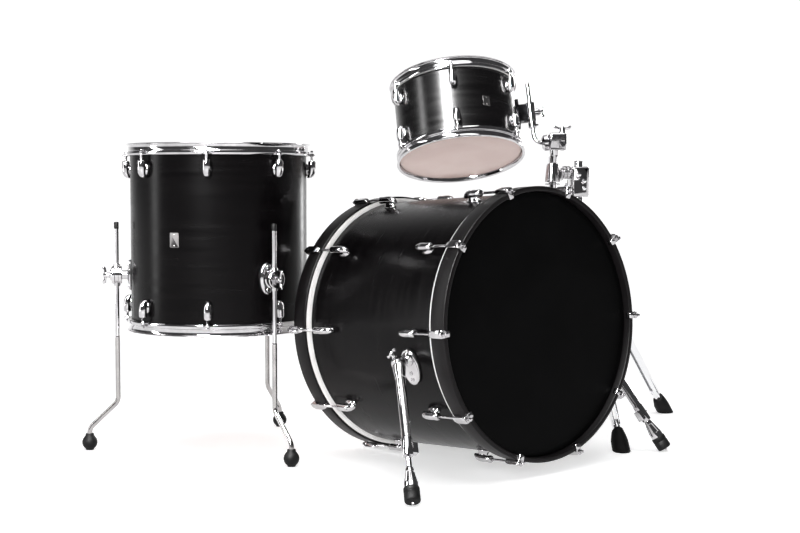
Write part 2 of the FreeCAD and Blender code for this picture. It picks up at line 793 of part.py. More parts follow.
def floor_tom_leg(index, angle):
    """One leg: a straight rod, a thicker bent foot, a rubber ball, and the wing bolt that clamps it."""
    where = FLOOR_TOM_FLOOR * turn(angle)
    body = new_body(f"floor_tom_leg_{index}", where)
    reach, foot_reach = dim.leg_reach, dim.leg_foot_reach
    circle = new_sketch(body, "XY_Plane", dim.leg_step)
    draw_circle(circle, reach, 0, dim.leg_foot_rod)
    path = new_sketch(body, "XZ_Plane")
    edges = draw_bent_path(path, reach, foot_reach, dim.leg_step, dim.leg_bend_top, dim.leg_bend_low, 14.0,
                           dim.leg_bend)
    pipe = body.newObject("PartDesign::AdditivePipe", "foot")
    pipe.Profile = circle
    pipe.Spine = (path, edges)
    top_sketch = new_sketch(body, "XY_Plane", dim.leg_step - 1.0)
    draw_circle(top_sketch, reach, 0, dim.leg_rod)
    add_pad(body, top_sketch, dim.leg_top - dim.leg_step + 1.0)
    node(f"floor_tom_leg_{index}", body)

    foot = new_body(f"floor_tom_foot_{index}", where)
    ball = dim.leg_foot
    sleeve = dim.leg_foot_rod + 0.1
    tall = dim.leg_foot_tall
    add_turned(foot, [(0, 0), (9.0, 0)] + arc_corners(0, ball, ball, -58, 40, 8) + [
        (10.0, tall - 3.0), (9.0, tall), (sleeve, tall), (sleeve, 13.9), (0, 13.9)], foot_reach)
    node(f"floor_tom_foot_{index}", foot)

    bolt_place = where * along_x(reach.number + 16.2, 0, dim.leg_bracket_height.number)
    wing_bolt(f"floor_tom_wing_bolt_{index}", bolt_place, 4.0, 9.0, 9.0, 42.0)


def draw_bent_path(sketch, near, far, top, bend_top, bend_low, end, radius):
    """A path down, out and down again, with round bends. Gives its edges' names in order."""
    near_x, far_x = near.number, far.number
    fall = bend_top.number - bend_low.number
    slope = math.atan2(far_x - near_x, fall)
    bend = radius.number
    back = bend * math.tan(slope / 2)
    points = [
        Vector(near_x, top.number, 0),
        Vector(near_x, bend_top.number + back, 0),
        Vector(near_x + back * math.sin(slope), bend_top.number - back * math.cos(slope), 0),
        Vector(far_x - back * math.sin(slope), bend_low.number + back * math.cos(slope), 0),
        Vector(far_x, bend_low.number - back, 0),
        Vector(far_x, end, 0)]
    first_centre = Vector(near_x + bend, points[1].y, 0)
    last_centre = Vector(far_x - bend, points[4].y, 0)
    middle = slope / 2
    first_mid = first_centre + Vector(-math.cos(middle), -math.sin(middle), 0) * bend
    last_mid = last_centre + Vector(math.cos(middle), math.sin(middle), 0) * bend
    sketch.addGeometry(Part.LineSegment(points[0], points[1]), False)
    sketch.addGeometry(Part.Arc(points[1], first_mid, points[2]), False)
    sketch.addGeometry(Part.LineSegment(points[2], points[3]), False)
    sketch.addGeometry(Part.Arc(points[3], last_mid, points[4]), False)
    sketch.addGeometry(Part.LineSegment(points[4], points[5]), False)
    fix_point(sketch, 0, 1, near, top)
    fix_point(sketch, 4, 2, far, end)
    return ["Edge1", "Edge2", "Edge3", "Edge4", "Edge5"]


# ---------------------------------------------------------------------------------------------------
# Tripod stand
# ---------------------------------------------------------------------------------------------------
def tripod_slope():
    """The angle of a tripod leg from straight down, in degrees."""
    out = dim.tripod_spread.number - dim.tripod_hub.number
    down = dim.tripod_hub_height.number - dim.tripod_ankle.number
    return math.degrees(math.atan2(out, down))


def brace_height():
    """The height of the braces' pivots, so that leg and brace make two sides of equal length."""
    rise = 2 * dim.brace_span.number * math.cos(math.radians(tripod_slope()))
    return dim.tripod_hub_height.number - rise


def tube(radius, wall, low, top):
    """A round tube between two heights."""
    return cut(cylinder(radius, top - low, place(z=low.number)),
               cylinder(radius - wall, top - low + 2.0, place(z=low.number - 1)))


def stand_base():
    """The lower tube with the collar that the braces turn on."""
    height = brace_height()
    reach = dim.tripod_hub.number
    parts = [tube(dim.stand_tube, dim.stand_tube - dim.upper_tube - RUNNING, dim.stand_tube_low, dim.stand_tube_top),
             cut(cylinder(21.0, 24.0, place(z=height - 12)), cylinder(13.0, 30.0, place(z=height - 15)))]
    for angle in TRIPOD_ANGLES:
        for side in (-1, 1):
            parts.append(box(26.0, 3.0, 18.0, turn(angle) * place(28.0, side * 5.0, height), 1.0))
        parts.append(cylinder(dim.pivot_pin, 14.0, turn(angle) * along_y(reach, -7, height)))
    node("stand_base_tube", fuse(*parts), STAND)


def leg_collar():
    """The collar that slides on the lower tube and carries the tripod's legs."""
    height = dim.tripod_hub_height.number
    reach = dim.tripod_hub.number
    parts = [cylinder(23.0, 30.0, place(z=height - 15))]
    for angle in TRIPOD_ANGLES:
        parts.append(box(20.0, dim.strip_gap - 1.0, 18.0, turn(angle) * place(reach - 4.0, 0, height), 1.0))
        parts.append(cylinder(dim.pivot_pin, 22.0, turn(angle) * along_y(reach, -11, height)))
    bore = cylinder(dim.stand_tube + RUNNING, 40.0, place(z=height - 20))
    node("stand_leg_collar", cut(fuse(*parts), bore), STAND)


def strip(span, width, thick, y, hole):
    """A flat strip along -Z with round ends, holed at the top for a pin."""
    body = fuse(
        box(width, thick, span, place(0, y, -as_size(span).number / 2)),
        cylinder(as_size(width) * 0.5, thick, along_y(0, y - as_size(thick).number / 2, 0)),
        cylinder(as_size(width) * 0.5, thick, along_y(0, y - as_size(thick).number / 2, -as_size(span).number)))
    return cut(body, cylinder(dim.pivot_pin + hole, 30.0, along_y(0, -15, 0)))


def tripod_leg(index, angle):
    """One tripod leg of two strips, its brace, and its rubber foot."""
    slope = tripod_slope()
    reach = dim.tripod_hub.number
    span = math.hypot(dim.tripod_spread.number - reach,
                      dim.tripod_hub_height.number - dim.tripod_ankle.number)
    thick = dim.strip_thick
    side = dim.strip_gap.number / 2 + thick.number / 2
    top = turn(angle) * place(reach, 0, dim.tripod_hub_height.number, Rotation(Y_AXIS, -slope))
    spread = dim.tripod_spread.number
    # The ankle's frame points on down the leg, into the boot.
    ankle = turn(angle) * place(spread, 0, dim.tripod_ankle.number, Rotation(Y_AXIS, 180 - slope))
    strip_end = span - 18.0
    pieces = [
        copy_of(strip(strip_end, dim.strip_wide, thick, side, RUNNING), top),
        copy_of(strip(strip_end, dim.strip_wide, thick, -side, RUNNING), top),
        cylinder(PEG_RADIUS, 46.0, ankle * place(z=-26)),
        cylinder(5.5, 3.0, top * along_y(0, side, -dim.brace_span.number)),
        cylinder(5.5, 3.0, top * along_y(0, -side - 3.0, -dim.brace_span.number)),
        cylinder(5.5, 2.0 * side, top * along_y(0, -side, -strip_end))]
    node(f"stand_leg_{index}", fuse(*pieces), STAND)

    brace = strip(dim.brace_span, 14.0, 4.0, 0, RUNNING)
    brace_place = turn(angle) * place(reach, 0, brace_height(), Rotation(Y_AXIS, slope - 180))
    node(f"stand_brace_{index}", brace, STAND * brace_place)

    socket = cylinder(PEG_RADIUS + RUNNING, 28.0, ankle * place(z=-7))
    node(f"stand_foot_{index}", cut(tripod_boot(turn(angle), slope), socket), STAND)


def tripod_boot(where, slope):
    """A rubber boot that leans with its leg: an oval sole flat on the floor, and a round top square to the leg."""
    body = new_body("boot", where)
    ankle = place(dim.tripod_spread.number, 0, dim.tripod_ankle.number, Rotation(Y_AXIS, -slope))
    fall = math.tan(math.radians(slope))
    sole = dim.tripod_spread.number + dim.tripod_ankle.number * fall
    long, wide, top = dim.boot_long, dim.boot_wide, dim.boot_top
    sections = []
    for plane, length, width in (
            (place(sole), long - 3.0, wide - 3.0), (place(sole - 3.0 * fall, 0, 3.0), long, wide),
            (place(sole - 10.0 * fall, 0, 10.0), long - 3.0, wide - 2.0), (ankle * place(z=-4.0), top, top),
            (ankle, top - 4.0, top - 4.0)):
        section = section_at(body, plane)
        draw_oval(section, 0, 0, length, width)
        sections.append(section)
    loft = body.newObject("PartDesign::AdditiveLoft", "boot")
    loft.Profile = sections[0]
    loft.Sections = sections[1:]
    loft.Ruled = True
    return body


def copy_of(item, where):
    """A solid moved on from where it was built."""
    item.Placement = where * item.Placement
    return item


def upper_stand():
    """The upper tube, the clamp that holds its height, and that clamp's wing bolt."""
    wall = as_size(1.6)
    node("stand_upper_tube", tube(dim.upper_tube, wall, dim.upper_tube_low, dim.upper_tube_top), STAND)
    top = dim.stand_tube_top.number
    ear = turn(-90)
    solid = fuse(
        cylinder(20.0, 30.0, place(z=top - 14)),
        cone(20.0, 15.0, 8.0, place(z=top + 16)),
        cylinder(9.0, 18.0, ear * along_x(16, 0, top + 3)))
    lower_bore = cylinder(dim.stand_tube, 14.5, place(z=top - 14.5))
    upper_bore = cylinder(dim.upper_tube + RUNNING, 40.0, place(z=top - 15))
    bolt_bore = cylinder(4.0 + RUNNING, 12.0, ear * along_x(23, 0, top + 3))
    node("stand_height_clamp", cut(solid, lower_bore, upper_bore, bolt_bore), STAND)
    wing_bolt("stand_wing_bolt", STAND * ear * along_x(34.3, 0, top + 3), 4.0, 9.0, 8.0, 40.0)


# ---------------------------------------------------------------------------------------------------
# Tom holder
# ---------------------------------------------------------------------------------------------------
def multi_clamp():
    """The clamp between tube and post: two jaws that meet in a toothed joint, and its screws."""
    height = dim.clamp_height.number
    joint = height + 25.0
    gear = toothed_disc(16.5, 18.0, 20)
    solid = fuse(
        box(46.0, 44.0, 76.0, place(0, 0, height + 2), 6.0),
        cylinder(11.0, 26.0, along_x(21, 0, joint)),
        copy_of(gear, along_x(23.5, 0, joint)),
        cone(20.0, 15.0, 46.0, place(POST_REACH, 0, height + 1)),
        box(24.0, 22.0, 26.0, place(POST_REACH - 12.0, 0, height + 18), 3.0))
    tube_bore = cylinder(dim.upper_tube + RUNNING, 100.0, place(0, 0, height - 50))
    post_bore = cylinder(dim.holder_post + RUNNING, 80.0, place(POST_REACH, 0, height - 20))
    post_slot = box(4.0, 60.0, 80.0, place(-24.0, 0, height))
    node("tom_clamp", cut(solid, tube_bore, post_bore, post_slot), CLAMP)

    screws = []
    jaw_face = 22.0
    for x, z in ((6.0, height + 20), (-8.0, height - 14), (-8.0, height + 4)):
        nut = hexagon(5.5, 5.0, along_y(x, jaw_face + 0.1, z))
        screws.append(fuse(nut, cylinder(2.6, 4.0, along_y(x, jaw_face + 4.0, z))))
    t_screw = 31.0
    screws.append(fuse(cylinder(3.0, 16.0, place(t_screw, 0, joint - 34.6)),
                       box(13.0, 4.0, 9.0, place(t_screw, 0, joint - 36.0), 1.5)))
    group = document.addObject("Part::Compound", "tom_clamp_screws")
    group.Links = screws
    node("tom_clamp_screws", group, CLAMP)


def hexagon(radius, length, where):
    """A six-sided bolt head."""
    item = document.addObject("Part::Prism", "hexagon")
    item.Polygon = 6
    item.Placement = where
    return drive(item, Circumradius=radius, Height=length)


def toothed_disc(radius, length, teeth):
    """A toothed disc up the Z axis, with a groove where its two halves meet."""
    body = new_body("toothed_disc_pattern")
    half = length / 2
    add_turned(body, [
        (0, 0), (radius - 1.0, 0), (radius, 1.0), (radius, half - 1.0), (radius - 2.0, half),
        (radius, half + 1.0), (radius, length - 1.0), (radius - 1.0, length), (0, length)])
    notch_sketch = new_sketch(body, "XY_Plane")
    draw_circle(notch_sketch, radius + 0.4, 0, 1.5)
    notch = add_through_cut(body, notch_sketch)
    repeat_around(body, [notch], teeth, mirrored=False)
    return body


def holder():
    """The post with the block on top of it, the T-handle, and the L-shaped rod with its toothed collar."""
    block_side = dim.holder_block
    half = block_side.number / 2
    offset = dim.holder_post_offset.number
    low = dim.clamp_height.number - 18.0 - BLOCK.Base.z
    solid = fuse(
        box(block_side, 38.0, block_side, place(), 7.0),
        cylinder(15.0, 14.0, place(-offset, 0, -half - 12)),
        cone(dim.holder_post, 15.0, 8.0, place(-offset, 0, -half - 19)),
        cylinder(dim.holder_post, -low - half, place(-offset, 0, low)),
        cylinder(9.0, 6.0, place(12.0, 0, half - 3)))
    arm = ROD.Rotation.multVec(X_AXIS)
    axis = BLOCK.inverse() * frame(ROD.Base, ROD.Rotation.multVec(Z_AXIS), arm)
    arm_start = dim.holder_arm.number - half
    pin_bore = cylinder(7.0 + RUNNING, 14.0, axis * place(z=arm_start - 1.5))
    # The block's near face is cut square to the rod's arm, so that the toothed collar lies flat on it.
    seat = cylinder(36.0, 20.0, axis * place(z=arm_start - 20.0))
    handle_bore = cylinder(4.0 + RUNNING, 12.0, place(12.0, 0, half - 8))
    node("tom_holder_post", cut(solid, pin_bore, handle_bore, seat), BLOCK)

    wing_bolt("tom_holder_handle", BLOCK * place(12.0, 0, half + 3.4), 4.0, 9.0, 6.0, 44.0)

    body = new_body("tom_holder_rod", ROD)
    rod_top = dim.holder_rod_drop + dim.holder_rod_top
    circle = new_sketch(body, "XY_Plane", rod_top)
    draw_circle(circle, 0, 0, dim.holder_rod)
    path = new_sketch(body, "XZ_Plane")
    bend = 24.0
    corner = Vector(bend - bend * math.sqrt(0.5), bend - bend * math.sqrt(0.5), 0)
    arm_end = arm_start - 18.0
    path.addGeometry(Part.LineSegment(Vector(0, rod_top.number, 0), Vector(0, bend, 0)), False)
    path.addGeometry(Part.Arc(Vector(0, bend, 0), corner, Vector(bend, 0, 0)), False)
    path.addGeometry(Part.LineSegment(Vector(bend, 0, 0), Vector(bend + 2.0, 0, 0)), False)
    fix_point(path, 0, 1, 0, rod_top)
    pipe = body.newObject("PartDesign::AdditivePipe", "rod")
    pipe.Profile = circle
    pipe.Spine = (path, ["Edge1", "Edge2", "Edge3"])
    collar_sketch = new_sketch(body, "XZ_Plane")
    start = arm_end
    end = arm_start - APART
    outline = [(start, 0), (start, 14.0), (start + 5.0, 20.0), (end - 1.5, 20.0), (end, 18.5), (end, 7.0),
               (end + 11.0, 7.0), (end + 11.0, 0)]
    draw_polygon(collar_sketch, outline)
    collar = body.newObject("PartDesign::Revolution", "collar")
    collar.Profile = collar_sketch
    collar.ReferenceAxis = (collar_sketch, ["H_Axis"])
    collar.Angle = 360
    node("tom_holder_rod", body)


def rack_tom_bracket():
    """The plate on the rack tom's shell, with the eye that grips the holder's rod, and its wing bolt."""
    start = dim.rack_tom_radius.number
    reach = ROD_REACH.number
    where = RACK_TOM * turn(RACK_TOM_BRACKET_ANGLE)
    solid = fuse(
        box(10.0, 34.0, 70.0, place(start + 2), 2.0),
        box(26.0, 20.0, 46.0, place(start + 16), 3.0),
        cylinder(11.5, 50.0, place(reach, 0, -25)),
        cylinder(9.0, 16.0, along_x(reach + 4)))
    rod_bore = cylinder(dim.holder_rod + RUNNING, 80.0, place(reach, 0, -40))
    bolt_bore = cylinder(4.0 + RUNNING, 12.0, along_x(reach + 10))
    inside = cylinder(dim.rack_tom_radius, 120.0, place(z=-60))
    node("rack_tom_bracket", cut(solid, rod_bore, bolt_bore, inside), where)
    wing_bolt("rack_tom_wing_bolt", where * along_x(reach + 20.3), 4.0, 9.0, 5.0, 30.0)


# ---------------------------------------------------------------------------------------------------
# The kit
# ---------------------------------------------------------------------------------------------------
def build_kit():
    """Makes every piece."""
    bass_drum()
    copies("spur_brackets", spur_bracket(), [spur_frames(side)[0] for label, side in SIDES])
    for label, side in SIDES:
        spur(label, side)
    tom("floor_tom", FLOOR_TOM, dim.floor_tom_radius, dim.floor_tom_half, FLOOR_TOM_LUGS,
        FLOOR_TOM_LUG_START)
    bracket_height = place(z=dim.leg_bracket_height.number)
    copies("floor_tom_leg_brackets", leg_bracket(),
           [FLOOR_TOM_FLOOR * turn(angle) * bracket_height for angle in FLOOR_TOM_LEG_ANGLES])
    for index, angle in enumerate(FLOOR_TOM_LEG_ANGLES, start=1):
        floor_tom_leg(index, angle)
    tom("rack_tom", RACK_TOM, dim.rack_tom_radius, dim.rack_tom_half, RACK_TOM_LUGS, RACK_TOM_LUG_START)
    rack_tom_bracket()
    holder()
    multi_clamp()
    stand_base()
    leg_collar()
    for index, angle in enumerate(TRIPOD_ANGLES, start=1):
        tripod_leg(index, angle)
    upper_stand()


def check_document():
    """Stops with a message if an object failed, or a piece is not a valid solid."""
    for item in document.Objects:
        if "Invalid" in item.State or "Error" in item.State:
            raise RuntimeError(f"{item.Name} ({item.Label}) failed: {item.State}")
    for name, item in nodes.items():
        shape = item.Shape
        if shape.isNull() or not shape.isValid() or not shape.Solids:
            raise RuntimeError(f"{name} has no valid solid")


def export_nodes():
    """Writes each piece to its own file."""
    os.makedirs("parts", exist_ok=True)
    for name, item in nodes.items():
        item.Shape.exportStep(f"parts/{name}.step")


build_kit()
document.recompute()
check_document()
export_nodes()

box_of_kit = FreeCAD.BoundBox()
for item in nodes.values():
    box_of_kit.add(item.Shape.BoundBox)
print(f"{len(nodes)} pieces; box {box_of_kit}")
for name, item in nodes.items():
    print(f"{name}: {len(item.Shape.Solids)} solids, {item.Shape.Volume / 1000:.1f} cm3")
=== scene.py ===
"""The looks of an acoustic drum kit: a bass drum on two spurs, a floor tom on three legs, and a rack tom
that a holder carries on a double-braced tripod stand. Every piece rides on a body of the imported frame.

Drawing sizes are in millimetres, as in the part's own sheet, and the meshes are in metres.
"""
import json
import logging
import math
from collections.abc import Callable, Iterator, Sequence
from contextlib import contextmanager
from dataclasses import dataclass
from enum import Enum

import bmesh
import bpy
from mathutils import Matrix, Vector

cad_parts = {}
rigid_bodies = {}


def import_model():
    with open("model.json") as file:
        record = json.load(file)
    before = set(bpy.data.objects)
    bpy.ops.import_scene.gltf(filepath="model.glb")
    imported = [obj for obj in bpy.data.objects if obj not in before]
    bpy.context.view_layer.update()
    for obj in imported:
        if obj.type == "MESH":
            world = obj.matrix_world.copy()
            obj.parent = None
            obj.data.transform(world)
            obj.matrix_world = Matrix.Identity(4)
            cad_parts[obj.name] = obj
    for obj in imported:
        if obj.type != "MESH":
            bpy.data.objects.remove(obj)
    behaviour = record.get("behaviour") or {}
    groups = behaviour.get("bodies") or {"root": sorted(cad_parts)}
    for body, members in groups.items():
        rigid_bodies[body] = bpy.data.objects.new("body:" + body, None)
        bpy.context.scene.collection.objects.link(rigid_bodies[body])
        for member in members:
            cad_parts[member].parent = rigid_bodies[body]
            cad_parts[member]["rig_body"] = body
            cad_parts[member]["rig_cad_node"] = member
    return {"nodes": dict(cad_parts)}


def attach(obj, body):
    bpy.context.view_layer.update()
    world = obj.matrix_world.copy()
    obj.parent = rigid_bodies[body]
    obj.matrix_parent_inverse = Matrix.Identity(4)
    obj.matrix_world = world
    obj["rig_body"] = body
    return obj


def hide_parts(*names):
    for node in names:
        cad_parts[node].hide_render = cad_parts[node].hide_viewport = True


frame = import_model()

log = logging.getLogger("drum_kit")

MM = 0.001
WELD = 2e-6
PACKED_WELD = 2e-5
LEVEL = 1e-5
RIM_STEPS = 160
HEAD_STEPS = 128
Outline = Sequence[tuple[float, float]]
Colour = tuple[float, float, float]
Piece = bpy.types.Object
Socket = bpy.types.NodeSocket


class Side(Enum):
    """The side of the bass drum that a spur stands on, as the audience sees it."""

    LEFT = -1
    RIGHT = 1


class End(Enum):
    """The end of a drum along its own axis."""

    TOP = 1
    BOTTOM = -1


class Pick(Enum):
    """What is picked in edit mode."""

    FACES = "FACE"
    EDGES = "EDGE"
    CORNERS = "VERT"


# ---------------------------------------------------------------------------------------------------
# Places
# ---------------------------------------------------------------------------------------------------
def at(x: float = 0.0, y: float = 0.0, z: float = 0.0) -> Matrix:
    """A place moved by a distance in millimetres."""
    return Matrix.Translation(Vector((x, y, z)) * MM)


def turn(degrees: float, axis: str = "Z") -> Matrix:
    """A place turned about one of its own axes."""
    return Matrix.Rotation(math.radians(degrees), 4, axis)


def aligned(origin: Vector, x_near: Vector, z_dir: Vector) -> Matrix:
    """A place whose Z axis is z_dir and whose X axis is as near x_near as that allows.

    Args:
        origin: The place's middle, in metres.
        x_near: The direction that X should follow.
        z_dir: The direction of Z.

    Returns:
        The place as a matrix.
    """
    z_axis = z_dir.normalized()
    y_axis = z_axis.cross(x_near).normalized()
    x_axis = y_axis.cross(z_axis)
    rows = Matrix((x_axis, y_axis, z_axis)).transposed().to_4x4()
    return Matrix.Translation(origin) @ rows


def around(count: int, start: float = 0.0) -> list[Matrix]:
    """Turned places at even steps about Z."""
    return [turn(start + 360.0 * step / count) for step in range(count)]


UP = Vector((0.0, 0.0, 1.0))
KIT = at(-136.624, -197.38)


# ---------------------------------------------------------------------------------------------------
# Bench work: every piece is a primitive that is shaped in edit mode
# ---------------------------------------------------------------------------------------------------
def put_down() -> None:
    """Leaves edit mode with nothing selected."""
    if bpy.context.mode != "OBJECT":
        bpy.ops.object.mode_set(mode="OBJECT")
    bpy.ops.object.select_all(action="DESELECT")


def take(piece: Piece) -> None:
    """Makes a piece the only one selected, and the active one."""
    put_down()
    piece.select_set(True)
    bpy.context.view_layer.objects.active = piece


@contextmanager
def shaping(piece: Piece) -> Iterator[None]:
    """Edit mode on one piece, with all of it selected at the start."""
    take(piece)
    bpy.ops.object.mode_set(mode="EDIT")
    bpy.ops.mesh.select_mode(type="VERT")
    bpy.ops.mesh.select_all(action="SELECT")
    yield
    bpy.ops.object.mode_set(mode="OBJECT")


def new_piece(name: str) -> Piece:
    """Names the primitive that was just added."""
    piece = bpy.context.active_object
    piece.name = name
    piece.data.name = name
    return piece


def pick(piece: Piece, what: Pick, test: Callable[[object], bool]) -> int:
    """Selects the faces, edges or corners that pass a test, in edit mode.

    Args:
        piece: The piece in edit mode.
        what: What is picked.
        test: Says whether a bmesh face, edge or corner is picked.

    Returns:
        How many were picked.
    """
    bpy.ops.mesh.select_mode(type=what.value)
    bpy.ops.mesh.select_all(action="DESELECT")
    mesh = bmesh.from_edit_mesh(piece.data)
    items = {Pick.FACES: mesh.faces, Pick.EDGES: mesh.edges, Pick.CORNERS: mesh.verts}[what]
    chosen = [item for item in items if test(item)]
    for item in chosen:
        item.select_set(True)
    mesh.select_flush_mode()
    bmesh.update_edit_mesh(piece.data)
    return len(chosen)


def close_up() -> None:
    """Merges doubled corners and points every face outwards, in edit mode."""
    bpy.ops.mesh.select_all(action="SELECT")
    bpy.ops.mesh.remove_doubles(threshold=WELD)
    bpy.ops.mesh.normals_make_consistent(inside=False)


def soften(piece: Piece, width: float, segments: int = 2, angle: float = 40.0) -> Piece:
    """Rounds a piece's sharp edges.

    Args:
        piece: The piece.
        width: The rounding's width in millimetres.
        segments: How many faces the rounding has.
        angle: Edges sharper than this are rounded, in degrees.

    Returns:
        The same piece.
    """
    take(piece)
    rounding = piece.modifiers.new("edge", "BEVEL")
    rounding.width = width * MM
    rounding.segments = segments
    rounding.limit_method = "ANGLE"
    rounding.angle_limit = math.radians(angle)
    bpy.ops.object.modifier_apply(modifier=rounding.name)
    return piece


def smooth(piece: Piece, angle: float = 35.0) -> Piece:
    """Shades a piece smooth, and keeps its sharp edges."""
    take(piece)
    bpy.ops.object.shade_smooth_by_angle(angle=math.radians(angle))
    return piece


def set_in(piece: Piece, place: Matrix) -> Piece:
    """Puts a piece's mesh in place, and leaves its object at the origin."""
    piece.data.transform(place)
    piece.data.update()
    return piece


def draw(outline: Sequence[tuple[float, float, float]]) -> None:
    """Extrudes the plane just added, as a single point, through corners in millimetres, and selects all."""
    bpy.ops.mesh.merge(type="CENTER")
    bpy.ops.transform.translate(value=[value * MM for value in outline[0]])
    for before, after in zip(outline, outline[1:]):
        step = [(new - old) * MM for old, new in zip(before, after)]
        bpy.ops.mesh.extrude_vertices_move(TRANSFORM_OT_translate={"value": step})
    bpy.ops.mesh.select_all(action="SELECT")


def turned(name: str, outline: Outline, place: Matrix = Matrix(), steps: int = 48) -> Piece:
    """A round piece: a point is extruded into its outline, which is spun about Z.

    Args:
        name: The piece's name.
        outline: Radius and height of each corner, in millimetres.
        place: Where it goes.
        steps: How many faces go round it.

    Returns:
        The piece.
    """
    put_down()
    bpy.ops.mesh.primitive_plane_add(size=MM, location=(0, 0, 0))
    piece = new_piece(name)
    with shaping(piece):
        draw([(radius, 0, height) for radius, height in outline])
        bpy.ops.mesh.spin(steps=steps, angle=math.tau, center=(0, 0, 0), axis=(0, 0, 1))
        close_up()
    return set_in(piece, place)


@dataclass(frozen=True)
class Ring:
    """An oval section of a grown piece: its middle and half sizes in millimetres, and its lean about Y."""

    x: float
    y: float
    z: float
    wide: float
    deep: float
    lean: float = 0.0

    @property
    def middle(self) -> Vector:
        """The middle in metres."""
        return Vector((self.x, self.y, self.z)) * MM


def grown(name: str, rings: Sequence[Ring], place: Matrix = Matrix(), sides: int = 20) -> Piece:
    """A piece grown from a disc, which is extruded and resized from one oval section to the next.

    Args:
        name: The piece's name.
        rings: The sections in order.
        place: Where it goes.
        sides: How many faces go round it.

    Returns:
        The piece.
    """
    put_down()
    bpy.ops.mesh.primitive_circle_add(vertices=sides, radius=MM, fill_type="NGON")
    piece = new_piece(name)
    with shaping(piece):
        first = rings[0]
        bpy.ops.transform.resize(value=(first.wide, first.deep, 1), center_override=(0, 0, 0))
        bpy.ops.transform.translate(value=first.middle)
        for before, after in zip(rings, rings[1:]):
            bpy.ops.mesh.extrude_region_move(
                TRANSFORM_OT_translate={"value": after.middle - before.middle})
            ratio = (after.wide / before.wide, after.deep / before.deep, 1)
            bpy.ops.transform.resize(value=ratio, center_override=after.middle)
            if after.lean != before.lean:
                bpy.ops.transform.rotate(value=math.radians(after.lean - before.lean), orient_axis="Y",
                                         center_override=after.middle)
        close_up()
    return set_in(piece, place)


def plate(name: str, outline: Outline, thick: float, place: Matrix = Matrix(),
          rounding: float = 0.0) -> Piece:
    """A flat piece: its outline is drawn in XY by extruding a point, filled, and extruded along Z.

    Args:
        name: The piece's name.
        outline: The corners in millimetres.
        thick: The thickness, half on each side of XY.
        place: Where it goes.
        rounding: The width of its rounded edges.

    Returns:
        The piece.
    """
    put_down()
    bpy.ops.mesh.primitive_plane_add(size=MM, location=(0, 0, 0))
    piece = new_piece(name)
    with shaping(piece):
        draw([(x, y, -thick / 2) for x, y in outline])
        bpy.ops.mesh.edge_face_add()
        bpy.ops.mesh.extrude_region_move(TRANSFORM_OT_translate={"value": (0, 0, thick * MM)})
        close_up()
    if rounding:
        soften(piece, rounding)
    return set_in(piece, place)


def block(name: str, size: tuple[float, float, float], place: Matrix = Matrix(),
          corner: float = 0.0, rounding: float = 0.0) -> Piece:
    """A block whose upright edges and rims are rounded.

    Args:
        name: The piece's name.
        size: Its size along X, Y and Z, in millimetres.
        place: Where its middle goes.
        corner: The radius of its upright edges.
        rounding: The width of its rims' rounding.

    Returns:
        The piece.
    """
    put_down()
    bpy.ops.mesh.primitive_cube_add(size=MM, location=(0, 0, 0))
    piece = new_piece(name)
    with shaping(piece):
        bpy.ops.transform.resize(value=size, center_override=(0, 0, 0))
        if corner:
            pick(piece, Pick.EDGES, lambda edge: abs(edge.verts[0].co.z - edge.verts[1].co.z) > LEVEL)
            bpy.ops.mesh.bevel(offset=corner * MM, segments=6, affect="EDGES")
    if rounding:
        soften(piece, rounding)
    return set_in(piece, place)


def rod(name: str, radius: float, bends: Sequence[tuple[Vector, float]], place: Matrix = Matrix(),
        sides: int = 20) -> Piece:
    """A bent round rod: a circle is extruded along each run and spun round each bend.

    Args:
        name: The piece's name.
        radius: The rod's radius in millimetres.
        bends: The corners of its route in millimetres, each with its bend radius, and 0 at both ends.
        place: Where it goes.
        sides: How many faces go round it.

    Returns:
        The piece.
    """
    corners = [corner for corner, bend in bends]
    runs = [(after - before).normalized() for before, after in zip(corners, corners[1:])]
    put_down()
    bpy.ops.mesh.primitive_circle_add(vertices=sides, radius=radius * MM, fill_type="NOTHING")
    piece = new_piece(name)
    set_in(piece, aligned(corners[0] * MM, Vector((1.0, 0.0, 0.3)), runs[0]))
    with shaping(piece):
        here = corners[0]
        for index, (corner, bend) in enumerate(bends[1:], start=1):
            back, angle = 0.0, 0.0
            if bend:
                angle = runs[index - 1].angle(runs[index])
                back = bend * math.tan(angle / 2)
            stop = corner - runs[index - 1] * back
            bpy.ops.mesh.extrude_region_move(TRANSFORM_OT_translate={"value": (stop - here) * MM})
            here = stop
            if bend:
                axis = runs[index - 1].cross(runs[index]).normalized()
                centre = stop + axis.cross(runs[index - 1]) * bend
                # Spin turns left-handed about its axis.
                bpy.ops.mesh.spin(steps=8, angle=-angle, center=centre * MM, axis=axis)
                here = corner + runs[index] * back
        bpy.ops.mesh.select_all(action="SELECT")
        bpy.ops.mesh.fill_holes(sides=0)
        close_up()
    return set_in(piece, place)


def joined(name: str, parts: Sequence[Piece]) -> Piece:
    """Joins parts into one piece, each keeping its own finish."""
    put_down()
    for part in parts:
        part.select_set(True)
    bpy.context.view_layer.objects.active = parts[0]
    if len(parts) > 1:
        bpy.ops.object.join()
    piece = bpy.context.view_layer.objects.active
    piece.name = name
    piece.data.name = name
    return piece


def repeated(name: str, pattern: Piece, places: Sequence[Matrix]) -> Piece:
    """Copies a pattern to several places, each copy with its own mesh, and joins them.

    Args:
        name: The joined piece's name.
        pattern: The piece that is copied. It is used up.
        places: Where the copies go.

    Returns:
        The joined piece.
    """
    copies = []
    for place in places:
        copy = pattern.copy()
        copy.data = pattern.data.copy()
        bpy.context.scene.collection.objects.link(copy)
        copies.append(set_in(copy, place))
    bpy.data.objects.remove(pattern)
    return joined(name, copies)


